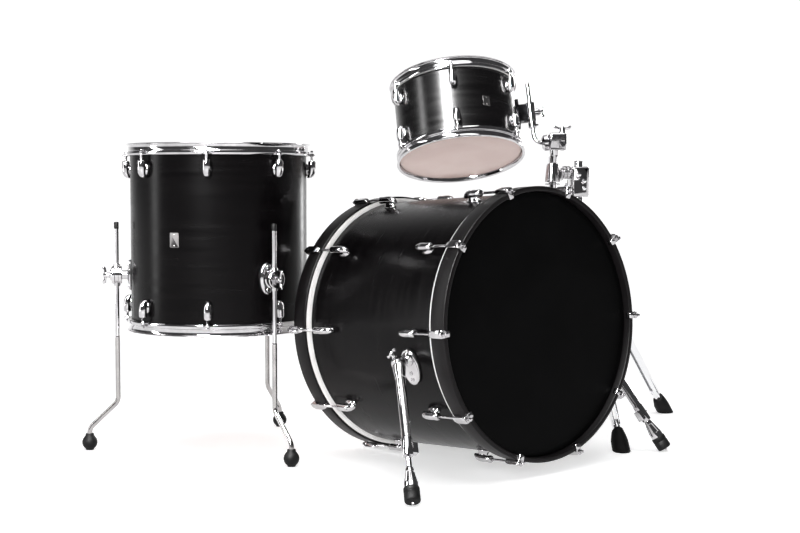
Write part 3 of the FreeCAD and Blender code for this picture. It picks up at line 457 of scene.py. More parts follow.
def traced(name: str, node: str, rounding: float, angle: float = 35.0) -> Piece:
    """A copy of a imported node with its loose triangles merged, its flats joined up and its edges rounded.

    Args:
        name: The copy's name.
        node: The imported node.
        rounding: The width of the rounded edges in millimetres.
        angle: Edges sharper than this are rounded.

    Returns:
        The copy.
    """
    source = frame["nodes"][node]
    copy = source.copy()
    copy.data = source.data.copy()
    copy.parent = None
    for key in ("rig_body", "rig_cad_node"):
        del copy[key]
    bpy.context.scene.collection.objects.link(copy)
    copy.name = name
    with shaping(copy):
        bpy.ops.mesh.remove_doubles(threshold=PACKED_WELD)
        bpy.ops.mesh.dissolve_limited(angle_limit=math.radians(1.0))
    return smooth(soften(copy, rounding, angle=angle))


def painted(piece: Piece, finish: "Finish") -> Piece:
    """Gives a piece its finish all over."""
    piece.data.materials.clear()
    piece.data.materials.append(finish.material())
    return piece


def fit(piece: Piece, body: str, finish: "Finish", *nodes: str) -> Piece:
    """Puts a finished piece on its body, in place of the nodes that it stands for.

    Args:
        piece: The piece, dressed or not.
        body: The body that it rides on.
        finish: Its main finish, which it gets if it has none.
        nodes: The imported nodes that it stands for.

    Returns:
        The same piece.
    """
    if not piece.data.materials:
        painted(piece, finish)
    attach(piece, body)
    if nodes:
        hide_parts(*nodes)
    log.info("%s on %s: %d faces", piece.name, body, len(piece.data.polygons))
    if not piece.data.polygons:
        raise ValueError(f"{piece.name} came out empty")
    return piece


# ---------------------------------------------------------------------------------------------------
# Finishes
# ---------------------------------------------------------------------------------------------------
def set_ramp(node: bpy.types.Node, stops: tuple[float, float], colours: tuple[Colour, Colour]) -> None:
    """Sets the two stops of a colour ramp."""
    for element, stop, colour in zip(node.color_ramp.elements, stops, colours):
        element.position, element.color = stop, (*colour, 1.0)


class Recipe:
    """A material's nodes while they are put together."""

    SPREAD_FROM = (0.3, 0.7)
    BLEND_FROM = (0.35, 0.68)

    def __init__(self, name: str) -> None:
        """Starts a material with its shader and its object coordinates."""
        self.made = bpy.data.materials.new(name)
        self.made.use_nodes = True
        self.tree = self.made.node_tree
        self.shader = self.tree.nodes["Principled BSDF"]
        self.coordinates = self.add("ShaderNodeTexCoord").outputs["Object"]

    def add(self, kind: str, **settings: object) -> bpy.types.Node:
        """Adds a node with its settings."""
        node = self.tree.nodes.new(kind)
        for key, value in settings.items():
            setattr(node, key, value)
        return node

    def link(self, source: Socket, target: Socket) -> None:
        """Joins two sockets."""
        self.tree.links.new(source, target)

    def set(self, name: str, value: object) -> None:
        """Sets a constant on the shader's own socket."""
        self.shader.inputs[name].default_value = value

    def drive(self, name: str, source: Socket) -> None:
        """Joins a socket to one of the shader's."""
        self.link(source, self.shader.inputs[name])

    def mapped(self, source: Socket, scale: Colour) -> Socket:
        """Coordinates stretched by a scale."""
        node = self.add("ShaderNodeMapping")
        node.inputs["Scale"].default_value = scale
        self.link(source, node.inputs["Vector"])
        return node.outputs["Vector"]

    def noise(self, source: Socket, scale: float, detail: float = 4.0) -> Socket:
        """A noise that runs from 0 to 1."""
        node = self.add("ShaderNodeTexNoise")
        node.inputs["Scale"].default_value = scale
        node.inputs["Detail"].default_value = detail
        self.link(source, node.inputs["Vector"])
        return node.outputs["Fac"]

    def spread(self, source: Socket, low: float, high: float) -> Socket:
        """A value from the noise's middle range, spread from low to high."""
        node = self.add("ShaderNodeMapRange")
        limits = zip(("From Min", "From Max", "To Min", "To Max"), (*self.SPREAD_FROM, low, high))
        for socket, value in limits:
            node.inputs[socket].default_value = value
        self.link(source, node.inputs["Value"])
        return node.outputs["Result"]

    def blend(self, source: Socket, dark: Colour, light: Colour) -> Socket:
        """A colour between two, by a noise."""
        node = self.add("ShaderNodeValToRGB")
        set_ramp(node, self.BLEND_FROM, (dark, light))
        self.link(source, node.inputs["Fac"])
        return node.outputs["Color"]

    def raise_by(self, source: Socket, height: float, strength: float) -> None:
        """Bumps the surface by a noise, up to a height in metres."""
        node = self.add("ShaderNodeBump")
        node.inputs["Strength"].default_value = strength
        node.inputs["Distance"].default_value = height
        self.link(source, node.inputs["Height"])
        self.drive("Normal", node.outputs["Normal"])


@dataclass(frozen=True)
class Finish:
    """A finish: its name, the record's slot, its two shades and its range of roughness."""

    name: str
    slot: str
    dark: Colour
    light: Colour
    smoothest: float
    roughest: float

    def material(self) -> bpy.types.Material:
        """The finish's material, made the first time that it is asked for."""
        made = bpy.data.materials.get(self.name)
        if made is None:
            recipe = Recipe(self.name)
            self.mix(recipe)
            made = recipe.made
        return made

    def colour(self, recipe: Recipe, shade: Socket, wear: Socket) -> None:
        """Lays the shades by one noise, and the roughness by another or the same."""
        recipe.drive("Base Color", recipe.blend(shade, self.dark, self.light))
        recipe.drive("Roughness", recipe.spread(wear, self.smoothest, self.roughest))

    def mix(self, recipe: Recipe) -> None:
        """Fine mottling in shade and roughness."""
        grain = recipe.noise(recipe.coordinates, scale=40.0)
        self.colour(recipe, grain, grain)


@dataclass(frozen=True)
class Chrome(Finish):
    """Plated metal: near-mirror, with the faint waves of a polished casting and some handling marks."""

    def mix(self, recipe: Recipe) -> None:
        """Slow waves under a hard polish."""
        recipe.set("Metallic", 1.0)
        marks = recipe.noise(recipe.coordinates, scale=85.0, detail=5.0)
        waves = recipe.noise(recipe.coordinates, scale=28.0, detail=2.0)
        self.colour(recipe, waves, marks)
        recipe.raise_by(waves, height=0.0004, strength=0.25)


@dataclass(frozen=True)
class StainedWood(Finish):
    """Dark-stained veneer under a satin lacquer, whose grain runs round the drum."""

    place: tuple[tuple[float, ...], ...] = ()
    radius: float = 0.3
    sheen: float = 0.3

    def mix(self, recipe: Recipe) -> None:
        """Bands of figure and fine pores, laid round the shell by angle."""
        inverse = Matrix(self.place).inverted()
        local = recipe.add("ShaderNodeMapping")
        local.inputs["Location"].default_value = inverse.to_translation()
        local.inputs["Rotation"].default_value = inverse.to_euler("XYZ")
        recipe.link(recipe.coordinates, local.inputs["Vector"])
        parts = recipe.add("ShaderNodeSeparateXYZ")
        recipe.link(local.outputs["Vector"], parts.inputs["Vector"])
        angle = recipe.add("ShaderNodeMath", operation="ARCTAN2")
        recipe.link(parts.outputs["Y"], angle.inputs[0])
        recipe.link(parts.outputs["X"], angle.inputs[1])
        length = recipe.add("ShaderNodeMath", operation="MULTIPLY")
        recipe.link(angle.outputs["Value"], length.inputs[0])
        length.inputs[1].default_value = self.radius
        laid = recipe.add("ShaderNodeCombineXYZ")
        recipe.link(length.outputs["Value"], laid.inputs["X"])
        recipe.link(parts.outputs["Z"], laid.inputs["Y"])
        bands, lines = (2.2, 26.0, 1.0), (14.0, 420.0, 1.0)
        figure = recipe.noise(recipe.mapped(laid.outputs["Vector"], bands), scale=2.2, detail=6.0)
        pores = recipe.noise(recipe.mapped(laid.outputs["Vector"], lines), scale=2.0, detail=3.0)
        self.colour(recipe, figure, figure)
        recipe.set("Specular IOR Level", self.sheen)
        recipe.raise_by(pores, height=0.0001, strength=0.10)


@dataclass(frozen=True)
class Film(Finish):
    """A drum head's film, plain or coated."""

    coating: float = 0.0
    cover: float = 1.0
    sheen: float = 0.5

    def mix(self, recipe: Recipe) -> None:
        """A faint cloudiness, and the coating's fine texture."""
        cloud = recipe.noise(recipe.coordinates, scale=9.0, detail=5.0)
        self.colour(recipe, cloud, cloud)
        recipe.set("Alpha", self.cover)
        recipe.set("Specular IOR Level", self.sheen)
        if self.coating:
            speckle = recipe.noise(recipe.coordinates, scale=900.0, detail=3.0)
            recipe.raise_by(speckle, height=self.coating * MM, strength=0.6)


@dataclass(frozen=True)
class Rubber(Finish):
    """Moulded rubber with a dull, dusty skin."""

    sheen: float = 0.16

    def mix(self, recipe: Recipe) -> None:
        """Dust in broad patches, and a fine moulded texture."""
        dust = recipe.noise(recipe.coordinates, scale=55.0, detail=6.0)
        skin = recipe.noise(recipe.coordinates, scale=1400.0, detail=2.0)
        self.colour(recipe, dust, dust)
        recipe.set("Specular IOR Level", self.sheen)
        recipe.raise_by(skin, height=0.0001, strength=0.4)


CHROME = Chrome("chrome_plate", "chrome", (0.50, 0.49, 0.50), (0.62, 0.61, 0.62), 0.05, 0.12)
DULL_CHROME = Chrome("brushed_plate", "chrome", (0.40, 0.385, 0.385), (0.50, 0.485, 0.48), 0.14, 0.24)
RING_METAL = Finish("head_ring_metal", "chrome", (0.82, 0.80, 0.79), (0.90, 0.89, 0.88), 0.30, 0.42)
DARK_PLATE = Chrome("black_plate", "chrome", (0.035, 0.035, 0.038), (0.06, 0.06, 0.065), 0.16, 0.26)
RUBBER = Rubber("black_rubber", "rubber", (0.0030, 0.0030, 0.0031), (0.0070, 0.0068, 0.0068), 0.48, 0.66)
BLACK_FILM = Film("black_film", "black_head", (0.0010, 0.0010, 0.0011), (0.0018, 0.0018, 0.0019),
                  0.40, 0.50, 0.02, 1.0, 0.03)
WHITE_FILM = Film("coated_film", "white_head", (0.74, 0.74, 0.72), (0.83, 0.83, 0.81), 0.55, 0.75, 0.12)
CLEAR_FILM = Film("clear_film", "clear_head", (0.90, 0.71, 0.66), (0.96, 0.78, 0.73), 0.10, 0.20, 0.0, 0.55)


def grain_round(place: Matrix, radius: float, sheen: float) -> dict[str, object]:
    """How a wood's grain is laid round a drum at a place, with a radius in millimetres."""
    return {"place": tuple(tuple(row) for row in place), "radius": radius * MM, "sheen": sheen}


def stained_wood(name: str, place: Matrix, radius: float, sheen: float) -> StainedWood:
    """The shells' dark stain."""
    return StainedWood(name, "shell_wood", (0.0017, 0.0013, 0.0016), (0.0029, 0.0023, 0.0026), 0.20, 0.28,
                       **grain_round(place, radius, sheen))


def hoop_lacquer(place: Matrix, radius: float) -> StainedWood:
    """The satin black lacquer of the wooden hoops."""
    return StainedWood("hoop_lacquer", "hoop_wood", (0.0040, 0.0032, 0.0036), (0.0068, 0.0056, 0.0062),
                       0.34, 0.46, **grain_round(place, radius, 0.14))


def bare_maple(name: str, place: Matrix, radius: float) -> StainedWood:
    """The bare maple inside a shell."""
    return StainedWood(name, "shell_wood", (0.56, 0.41, 0.345), (0.72, 0.565, 0.49), 0.45, 0.6,
                       **grain_round(place, radius, 0.3))


# ---------------------------------------------------------------------------------------------------
# Small hardware
# ---------------------------------------------------------------------------------------------------
def key_rod(name: str, low: float, seat: float, axis: float) -> Piece:
    """A tension rod: shank, flanged washer, collar and square key head.

    Args:
        name: The rod's name.
        low: The shank's lower end along the drum's axis.
        seat: The height that the washer rests on.
        axis: The rod's distance from the drum's axis.

    Returns:
        The rod.
    """
    shank = turned("shank", [
        (0, low), (2.4, low), (2.9, low + 1), (2.9, seat), (6.0, seat), (6.0, seat + 1.1),
        (5.6, seat + 1.4), (4.4, seat + 1.4), (4.4, seat + 2.6), (4.1, seat + 2.9), (0, seat + 2.9)],
        steps=20)
    head = block("head", (5.8, 5.8, 7.0), at(0, 0, seat + 6.3), 0.6, 0.5)
    return set_in(smooth(joined(name, [shank, head])), at(axis))


def bullet_lug(name: str, axis: float, top: float, tall: float, thick: float, radius: float) -> Piece:
    """A lug: a bullet that carries the rod's nut and curls in to the shell at its lower end, on its gasket.

    Args:
        name: The lug's name.
        axis: The rod's distance from the drum's axis.
        top: The height of the lug's mouth.
        tall: Its height.
        thick: Its half thickness.
        radius: The shell's radius.

    Returns:
        The lug, with its gasket.
    """
    shell = radius + 1.2
    rings = [
        Ring(axis, 0, top - 5.0, 3.2, 3.2), Ring(axis, 0, top, 3.3, 3.3),
        Ring(axis, 0, top, thick * 0.80, thick * 0.80), Ring(axis, 0, top - 1.2, thick * 0.92,
                                                             thick * 0.92),
                                                             Ring(axis, 0, top - 4.0, thick, thick),
                                                             Ring(axis - 0.2, 0, top - tall * 0.45, thick,
                                                                  thick),
                                                                  Ring(axis - 1.0, 0, top - tall * 0.70,
                                                                       thick * 0.97, thick * 0.94),
                                                                       Ring(axis - 3.2, 0,
                                                                            top - tall * 0.86, thick * 0.86,
                                                                            thick * 0.80),
                                                                            Ring(axis - 5.6, 0,
                                                                                 top - tall * 0.95,
                                                                                 thick * 0.60,
                                                                                 thick * 0.60),
                                                                                 Ring(axis - 7.2, 0,
                                                                                      top - tall * 0.99,
                                                                                      thick * 0.30,
                                                                                      thick * 0.32)]
    bullet = smooth(grown("bullet", rings, sides=20), 40)
    reach = axis - shell
    middle = top - tall * 0.52
    facing = at(shell, 0, middle) @ turn(90, "Y")
    foot = smooth(grown("foot", [
        Ring(0, 0, 0, tall * 0.34, thick * 0.94), Ring(0, 0, 1.4, tall * 0.34, thick * 0.94),
        Ring(0, 0, 2.6, tall * 0.31, thick * 0.80), Ring(0, 0, reach * 0.55, tall * 0.27, thick * 0.62),
        Ring(0, 0, reach, tall * 0.24, thick * 0.58)], facing, 20))
    body = painted(joined("lug_body", [bullet, foot]), CHROME)
    pad = gasket(-1.6, 0, tall * 0.36, thick * 1.02, facing)
    return joined(name, [body, pad])


def gasket(low: float, high: float, wide: float, deep: float, place: Matrix, sides: int = 20) -> Piece:
    """A thin rubber oval under a casting, between two heights at a place."""
    rings = [Ring(0, 0, low, wide, deep), Ring(0, 0, high, wide, deep)]
    return painted(grown("gasket", rings, place, sides), RUBBER)


def wing_bolt(name: str, place: Matrix, shank: float, hub_length: float, span: float,
              hub: float = 7.5) -> Piece:
    """A wing bolt along Z: its shank, a domed hub, and two wings that rise from it.

    Args:
        name: The bolt's name.
        place: Where its hub starts.
        shank: How far the shank goes in.
        hub_length: The hub's length.
        span: The size from one wing's tip to the other's.
        hub: The hub's radius.

    Returns:
        The bolt.
    """
    stem = smooth(turned("stem", [
        (0, -shank), (3.4, -shank), (4.0, -shank + 1), (4.0, 0), (hub - 0.6, 0), (hub, 0.7),
        (hub * 0.86, hub_length), (5.9, hub_length + 3.6), (4.6, hub_length + 5.6), (2.0, hub_length + 6.6),
        (0, hub_length + 6.8)],
        steps=32))
    half = span / 2
    base, tip = hub_length - 2.2, hub_length + 8.5
    outline = [(0, base), (half * 0.45, base + 0.6), (half * 0.82, base + 1.6), (half * 0.98, base + 5.0),
               (half, tip - 2.4), (half * 0.93, tip), (half * 0.76, tip - 0.2), (half * 0.55, tip - 3.4),
               (0, tip - 4.6)]
    mirrored = [(-x, z) for x, z in reversed(outline[1:-1])]
    wings = plate("wings", outline + mirrored, 4.6, turn(90, "X"), 1.3)
    with shaping(wings):
        pick(wings, Pick.CORNERS, lambda corner: abs(corner.co.x) > half * 0.8 * MM)
        bpy.ops.transform.resize(value=(1, 0.72, 1), center_override=(0, 0, tip * MM))
    return set_in(joined(name, [stem, smooth(wings, 50)]), place)


# ---------------------------------------------------------------------------------------------------
# Drums
# ---------------------------------------------------------------------------------------------------
@dataclass
class Drum:
    """What every drum has: a wooden shell, dark outside and bare inside, at a place with Z up its axis."""

    prefix: str
    place: Matrix
    radius: float
    half: float
    wall: float
    body: str
    edge_fall: float = 3.0
    sheen: float = 0.09
    lug_count: int = 8
    lug_start: float = 0.0
    rod_offset: float = 13.0

    @property
    def rod_axis(self) -> float:
        """The distance of the rods from the drum's axis."""
        return self.radius + self.rod_offset

    @property
    def faces(self) -> list[Matrix]:
        """The drum's place, and the same place turned over, with Z out of its bottom."""
        return [self.place, self.place @ turn(180, "X")]

    def ends(self) -> list[Matrix]:
        """The places of all rods and lugs at both ends, with Z towards that end."""
        tops = [self.place @ step for step in around(self.lug_count, self.lug_start)]
        return tops + [place @ turn(180, "X") for place in tops]

    def build_shell(self) -> Piece:
        """Turns the shell with its bearing edges, and dresses it outside and inside."""
        inner = self.radius - self.wall
        crest = self.radius - self.wall * 0.4
        rim, fall = self.half, self.edge_fall
        shell = turned(f"{self.prefix}_shell_wood", [
            (inner, -rim + fall), (crest, -rim), (self.radius, -rim + fall * 0.5),
            (self.radius, -rim * 0.33), (self.radius, rim * 0.33), (self.radius, rim - fall * 0.5),
            (crest, rim), (inner, rim - fall), (inner, rim * 0.33), (inner, -rim * 0.33),
            (inner, -rim + fall)], self.place, RIM_STEPS)
        stain = stained_wood(f"{self.prefix}_stain", self.place, self.radius, self.sheen)
        painted(shell, stain)
        shell.data.materials.append(bare_maple(f"{self.prefix}_maple", self.place, self.radius).material())
        back = self.place.inverted()
        limit = (self.radius - 0.4) * MM
        with shaping(shell):
            pick(shell, Pick.FACES, lambda face: (back @ face.calc_center_median()).xy.length < limit)
            shell.active_material_index = 1
            bpy.ops.object.material_slot_assign()
        smooth(shell)
        return fit(shell, self.body, stain, f"{self.prefix}_shell")

    def badge(self, angle: float, height: float, wide: float = 22.0, tall: float = 33.0) -> Piece:
        """A small blank plate on the shell, with a raised rim and two pins.

        Args:
            angle: Where it is round the drum, in degrees.
            height: The height of its middle.
            wide: Its width.
            tall: Its height.

        Returns:
            The plate.
        """
        where = self.place @ turn(angle) @ at(self.radius + 0.2, 0, height) @ turn(90, "Y") @ turn(90)
        face = block("plate", (wide, tall, 1.6), at(), 2.2, 0.4)
        with shaping(face):
            pick(face, Pick.FACES,
                 lambda item: item.normal.z > 0.9 and item.calc_area() > wide * tall * 0.5 * MM * MM)
            bpy.ops.mesh.inset(thickness=1.8 * MM, depth=-0.4 * MM)
        pin = [(0, 0), (1.3, 0), (1.3, 0.9), (0.7, 1.3), (0, 1.4)]
        pins = [smooth(turned("pin", pin, at(0, end * (tall / 2 - 4.2), 0.3), 12)) for end in (-1, 1)]
        plate_piece = smooth(joined(f"{self.prefix}_badge", [face, *pins]))
        set_in(plate_piece, where)
        return fit(plate_piece, self.body, DULL_CHROME)


@dataclass
class Tom(Drum):
    """A tom: its shell, two heads, pressed hoops with an ear for each rod, lugs and tension rods."""

    hoop_rise: float = 10.6
    hoop_drop: float = 16.0
    metal: float = 2.3

    def build_head(self, end: End) -> Piece:
        """A head: a film drawn over the edge, its rolled collar, and the metal ring that carries it."""
        film, name = (WHITE_FILM, "batter") if end is End.TOP else (CLEAR_FILM, "resonant")
        radius, half = self.radius, self.half
        outline = [
            (0, half + 0.3), (radius - 3.0, half + 0.3), (radius + 0.4, half - 1.2),
            (radius + 0.5, half - 8.4), (radius + 1.2, half - 8.4), (radius + 1.2, half - 1.0),
            (radius + 0.2, half + 0.9), (radius - 3.0, half + 1.1), (radius * 0.5, half + 1.1),
            (0, half + 1.1)]
        head = painted(turned("film", outline, steps=HEAD_STEPS), film)
        ring = turned("ring", [
            (radius + 0.7, half - 14.8), (radius + 5.0, half - 14.8), (radius + 5.2, half - 14.2),
            (radius + 5.2, half - 9.6), (radius + 4.6, half - 9.1), (radius + 0.7, half - 9.1),
            (radius + 0.7, half - 14.8)], steps=HEAD_STEPS)
        whole = joined(f"{self.prefix}_{name}_film", [head, painted(ring, RING_METAL)])
        flip = turn(180, "X") if end is End.BOTTOM else Matrix()
        set_in(smooth(whole), self.place @ flip)
        return fit(whole, self.body, film, f"{self.prefix}_{name}_head")

    def build_hoops(self) -> Piece:
        """Two pressed hoops: skirt, step, wall and rolled rim, with a collared ear at each rod."""
        radius, metal = self.radius, self.metal
        low, top, step = self.half - self.hoop_drop, self.half + self.hoop_rise, self.half - 8.8
        skirt, wall = radius + 8.0, radius + 2.1
        outline = [
            (skirt - metal, low), (skirt - metal * 0.2, low), (skirt, low + 0.6),
            (skirt, step + metal - 1.4), (skirt - 1.0, step + metal), (wall + metal + 1.2, step + metal),
            (wall + metal, step + metal + 1.2), (wall + metal, top - metal - 1.4),
            (wall + metal + 1.2, top - metal), (radius + 8.6, top - metal),
            (radius + 9.4, top - metal * 0.5), (radius + 8.6, top), (wall + 1.4, top), (wall, top - 1.6),
            (wall, step), (skirt - metal, step), (skirt - metal, low)]
        ring = smooth(turned("ring", outline, steps=RIM_STEPS), 50)
        inner, outer = skirt - metal, self.rod_axis + 7.6
        ear_outline = [(inner, -13.0), (skirt + 1.0, -11.0), (self.rod_axis, -7.8), (outer - 2.6, -5.8),
                       (outer, -2.2), (outer, 2.2), (outer - 2.6, 5.8), (self.rod_axis, 7.8),
                       (skirt + 1.0, 11.0), (inner, 13.0)]
        ear = smooth(plate("ear", ear_outline, metal, at(0, 0, low + metal / 2), 0.5))
        collar = smooth(turned("collar", [
            (3.2, low - 1.4), (4.6, low - 1.4), (5.4, low), (6.9, low + metal - 0.1),
            (6.6, low + metal + 0.05), (3.2, low + metal + 0.05), (3.2, low - 1.4)], at(self.rod_axis), 24))
        ears = repeated("ears", joined("ear_set", [ear, collar]), around(self.lug_count, self.lug_start))
        hoop = painted(joined("hoop", [ring, ears]), CHROME)
        both = repeated(f"{self.prefix}_pressed_hoops", hoop,
                        [self.place, self.place @ turn(2 * self.lug_start) @ turn(180, "X")])
        return fit(both, self.body, CHROME, f"{self.prefix}_hoops")

    def build_hardware(self) -> None:
        """The lugs, their screws inside the shell, and the tension rods."""
        top = self.half - 28.0
        tall, thick = 40.0, 9.0
        lug = bullet_lug("lug", self.rod_axis, top, tall, thick, self.radius)
        fit(repeated(f"{self.prefix}_bullet_lugs", lug, self.ends()), self.body, CHROME,
            f"{self.prefix}_lugs")
        seat = self.half - self.hoop_drop + self.metal
        rods = repeated(f"{self.prefix}_key_rods", key_rod("key_rod", top - 6.0, seat, self.rod_axis),
                        self.ends())
        fit(rods, self.body, CHROME, f"{self.prefix}_tension_rods")
        inner = self.radius - self.wall
        screw = smooth(turned("screw", [
            (0, 3.4), (1.6, 3.4), (1.9, 3.0), (3.6, 2.6), (4.4, 1.2), (7.0, 1.1), (7.4, 0.4), (7.4, 0.1),
            (0, 0.1)],
            turn(-90, "Y"), 20))
        heights = [top - tall * 0.52 + offset for offset in (-8.0, 8.0)]
        pair = repeated("screw_pair", screw, [at(inner, 0, height) for height in heights])
        fit(repeated(f"{self.prefix}_lug_screws", painted(pair, DULL_CHROME), self.ends()), self.body,
            DULL_CHROME)

    def build(self) -> None:
        """Makes the whole tom but for its mount."""
        self.build_shell()
        self.build_head(End.TOP)
        self.build_head(End.BOTTOM)
        self.build_hoops()
        self.build_hardware()


@dataclass
class BassDrum(Drum):
    """The bass drum: wooden hoops that claws pull onto the heads' rings, lugs and tension rods."""

    hoop_inner: float = 282.0
    hoop_outer: float = 292.8
    hoop_low: float = 205.0
    hoop_top: float = 245.0
    lug_count: int = 10
    lug_start: float = 18.3
    rod_offset: float = 17.6
    lug_low: float = 110.0
    lug_top: float = 163.0

    def build_head(self, end: End) -> Piece:
        """A head: the film with its stepped collar, which goes down beside the hoop to its ring."""
        film, name = (BLACK_FILM, "front") if end is End.TOP else (WHITE_FILM, "rear")
        edge, top = self.radius + 0.3, self.half + 1.1
        outline = [
            (0, self.half + 0.3), (edge - 6.0, self.half + 0.3), (edge, self.half - 1.8),
            (edge, self.hoop_low + 0.2), (edge + 1.0, self.hoop_low + 0.2), (edge + 1.0, self.half - 1.4),
            (edge + 0.2, self.half - 0.2), (edge - 6.0, top - 0.2), (edge - 14.0, top), (edge * 0.5, top),
            (0, top)]
        head = turned(f"bass_{name}_film", outline, self.place, RIM_STEPS)
        if end is End.BOTTOM:
            set_in(head, self.place @ turn(180, "X") @ self.place.inverted())
        return fit(smooth(painted(head, film)), self.body, film, f"bass_{name}_head")

    def build_rings(self) -> Piece:
        """The heads' metal rings, whose bright edges show between shell and hoop."""
        low, inner = self.hoop_low, self.radius + 0.3
        ring = turned("ring", [
            (inner, low - 8.5), (inner + 6.6, low - 8.5), (inner + 8.3, low - 7.4),
            (inner + 8.3, low - 5.6), (inner + 8.3, low - 4.4), (inner + 6.9, low - 3.9),
            (inner + 6.9, low - 3.2), (inner + 8.3, low - 2.6), (inner + 8.3, low - 0.3),
            (inner, low - 0.1), (inner, low - 8.5)], steps=RIM_STEPS)
        both = repeated("bass_ring_pair", smooth(ring), self.faces)
        return fit(both, self.body, RING_METAL, "bass_head_rings")

    def build_hoops(self) -> Piece:
        """Two wooden hoops with rounded rims."""
        hoop = turned("hoop", [
            (self.hoop_inner, self.hoop_low), (self.hoop_outer, self.hoop_low),
            (self.hoop_outer, self.hoop_top), (self.hoop_inner, self.hoop_top),
            (self.hoop_inner, self.hoop_low)], steps=RIM_STEPS)
        soften(hoop, 2.0, 3)
        finish = hoop_lacquer(self.place, self.hoop_outer)
        both = repeated("bass_wooden_hoops", smooth(hoop), self.faces)
        return fit(both, self.body, finish, "bass_hoops")

    def build_claws(self) -> Piece:
        """The claws: a cast hook over the hoop, its rod's boss, two side cheeks and a rubber pad."""
        axis, top, low = self.rod_axis, self.hoop_top + 4.6, self.hoop_low + 1.5
        back, inside, seat = self.hoop_outer + 0.1, self.hoop_inner - 0.1, self.hoop_top + 0.05
        outline = [
            (back, low), (axis + 2.5, low), (axis + 5.4, low + 5.0), (axis + 6.9, low + 14.0),
            (axis + 6.9, top - 8.0), (axis + 5.8, top - 2.4), (axis + 3.4, top), (inside + 2.0, top),
            (inside - 2.2, top - 0.8), (inside - 3.4, top - 3.2), (inside - 3.0, top - 14.0),
            (inside, top - 14.0), (inside, seat), (back, seat)]
        upright = turn(90, "X")
        hook = plate("hook", outline, 17.0, upright)
        with shaping(hook):
            pick(hook, Pick.CORNERS, lambda corner: corner.co.x < (back + 1.0) * MM)
            bpy.ops.transform.resize(value=(1, 0.72, 1), center_override=(back * MM, 0, top * MM))
            pick(hook, Pick.CORNERS, lambda corner: corner.co.z < (low + 6.0) * MM)
            bpy.ops.transform.resize(value=(1, 0.62, 1), center_override=(back * MM, 0, low * MM))
        soften(hook, 1.6, 3)
        boss = turned("boss", [
            (3.3, top - 12.0), (6.2, top - 12.0), (7.6, top - 9.0), (8.3, top - 1.6), (7.7, top),
            (6.6, top), (6.3, top - 0.6), (3.3, top - 0.6), (3.3, top - 12.0)], at(axis), 28)
        cast = painted(smooth(joined("cast", [hook, boss]), 50), CHROME)
        pad = painted(block("pad", (1.1, 12.0, 26.0), at(back - 0.2, 0, low + 17.0), 0, 0.3), RUBBER)
        claws = repeated("bass_cast_claws", joined("claw", [cast, pad]), self.ends())
        return fit(claws, self.body, CHROME, "bass_claws")

    def build_lugs(self) -> Piece:
        """The lugs: a waisted bullet with a flared mouth for the rod, on a foot and its gasket."""
        axis, low, top, thick = self.rod_axis, self.lug_low, self.lug_top, 8.4
        tall = top - low
        bullet = grown("bullet", [
            Ring(axis, 0, top - 6.0, 3.2, 3.2), Ring(axis, 0, top, 3.4, 3.4), Ring(axis, 0, top, 6.6, 6.6),
            Ring(axis, 0, top - 1.0, 7.8, 7.8), Ring(axis, 0, top - 4.0, thick, thick),
            Ring(axis, 0, top - 12.0, thick * 0.94, thick * 0.94), Ring(axis, 0, top - 22.0, thick, thick),
            Ring(axis - 0.3, 0, top - tall * 0.62, thick, thick * 0.97),
            Ring(axis - 1.6, 0, top - tall * 0.80, thick * 0.90, thick * 0.86),
            Ring(axis - 4.4, 0, top - tall * 0.93, thick * 0.62, thick * 0.62),
            Ring(axis - 6.6, 0, top - tall * 0.985, thick * 0.30, thick * 0.30)], sides=20)
        shell = self.radius + 1.2
        reach = axis - shell
        facing = at(shell, 0, top - tall * 0.52) @ turn(90, "Y")
        foot = grown("foot", [
            Ring(0, 0, 0, tall * 0.33, 7.6), Ring(0, 0, 1.6, tall * 0.33, 7.6),
            Ring(0, 0, 3.0, tall * 0.30, 6.4), Ring(0, 0, reach * 0.6, tall * 0.24, 5.0),
            Ring(0, 0, reach, tall * 0.22, 5.0)], facing, 20)
        body = painted(smooth(joined("lug_body", [bullet, foot]), 45), CHROME)
        pad = gasket(-1.8, 0, tall * 0.35, 8.6, facing)
        lugs = repeated("bass_bullet_lugs", joined("lug", [body, pad]), self.ends())
        return fit(lugs, self.body, CHROME, "bass_lugs")

    def build(self) -> None:
        """Makes the whole bass drum but for its spurs."""
        self.build_shell()
        self.build_head(End.TOP)
        self.build_head(End.BOTTOM)
        self.build_rings()
        self.build_hoops()
        self.build_claws()
        self.build_lugs()
        rod_piece = key_rod("key_rod", self.lug_top - 7.0, self.hoop_top + 4.6, self.rod_axis)
        fit(repeated("bass_key_rods", rod_piece, self.ends()), self.body, CHROME, "bass_tension_rods")


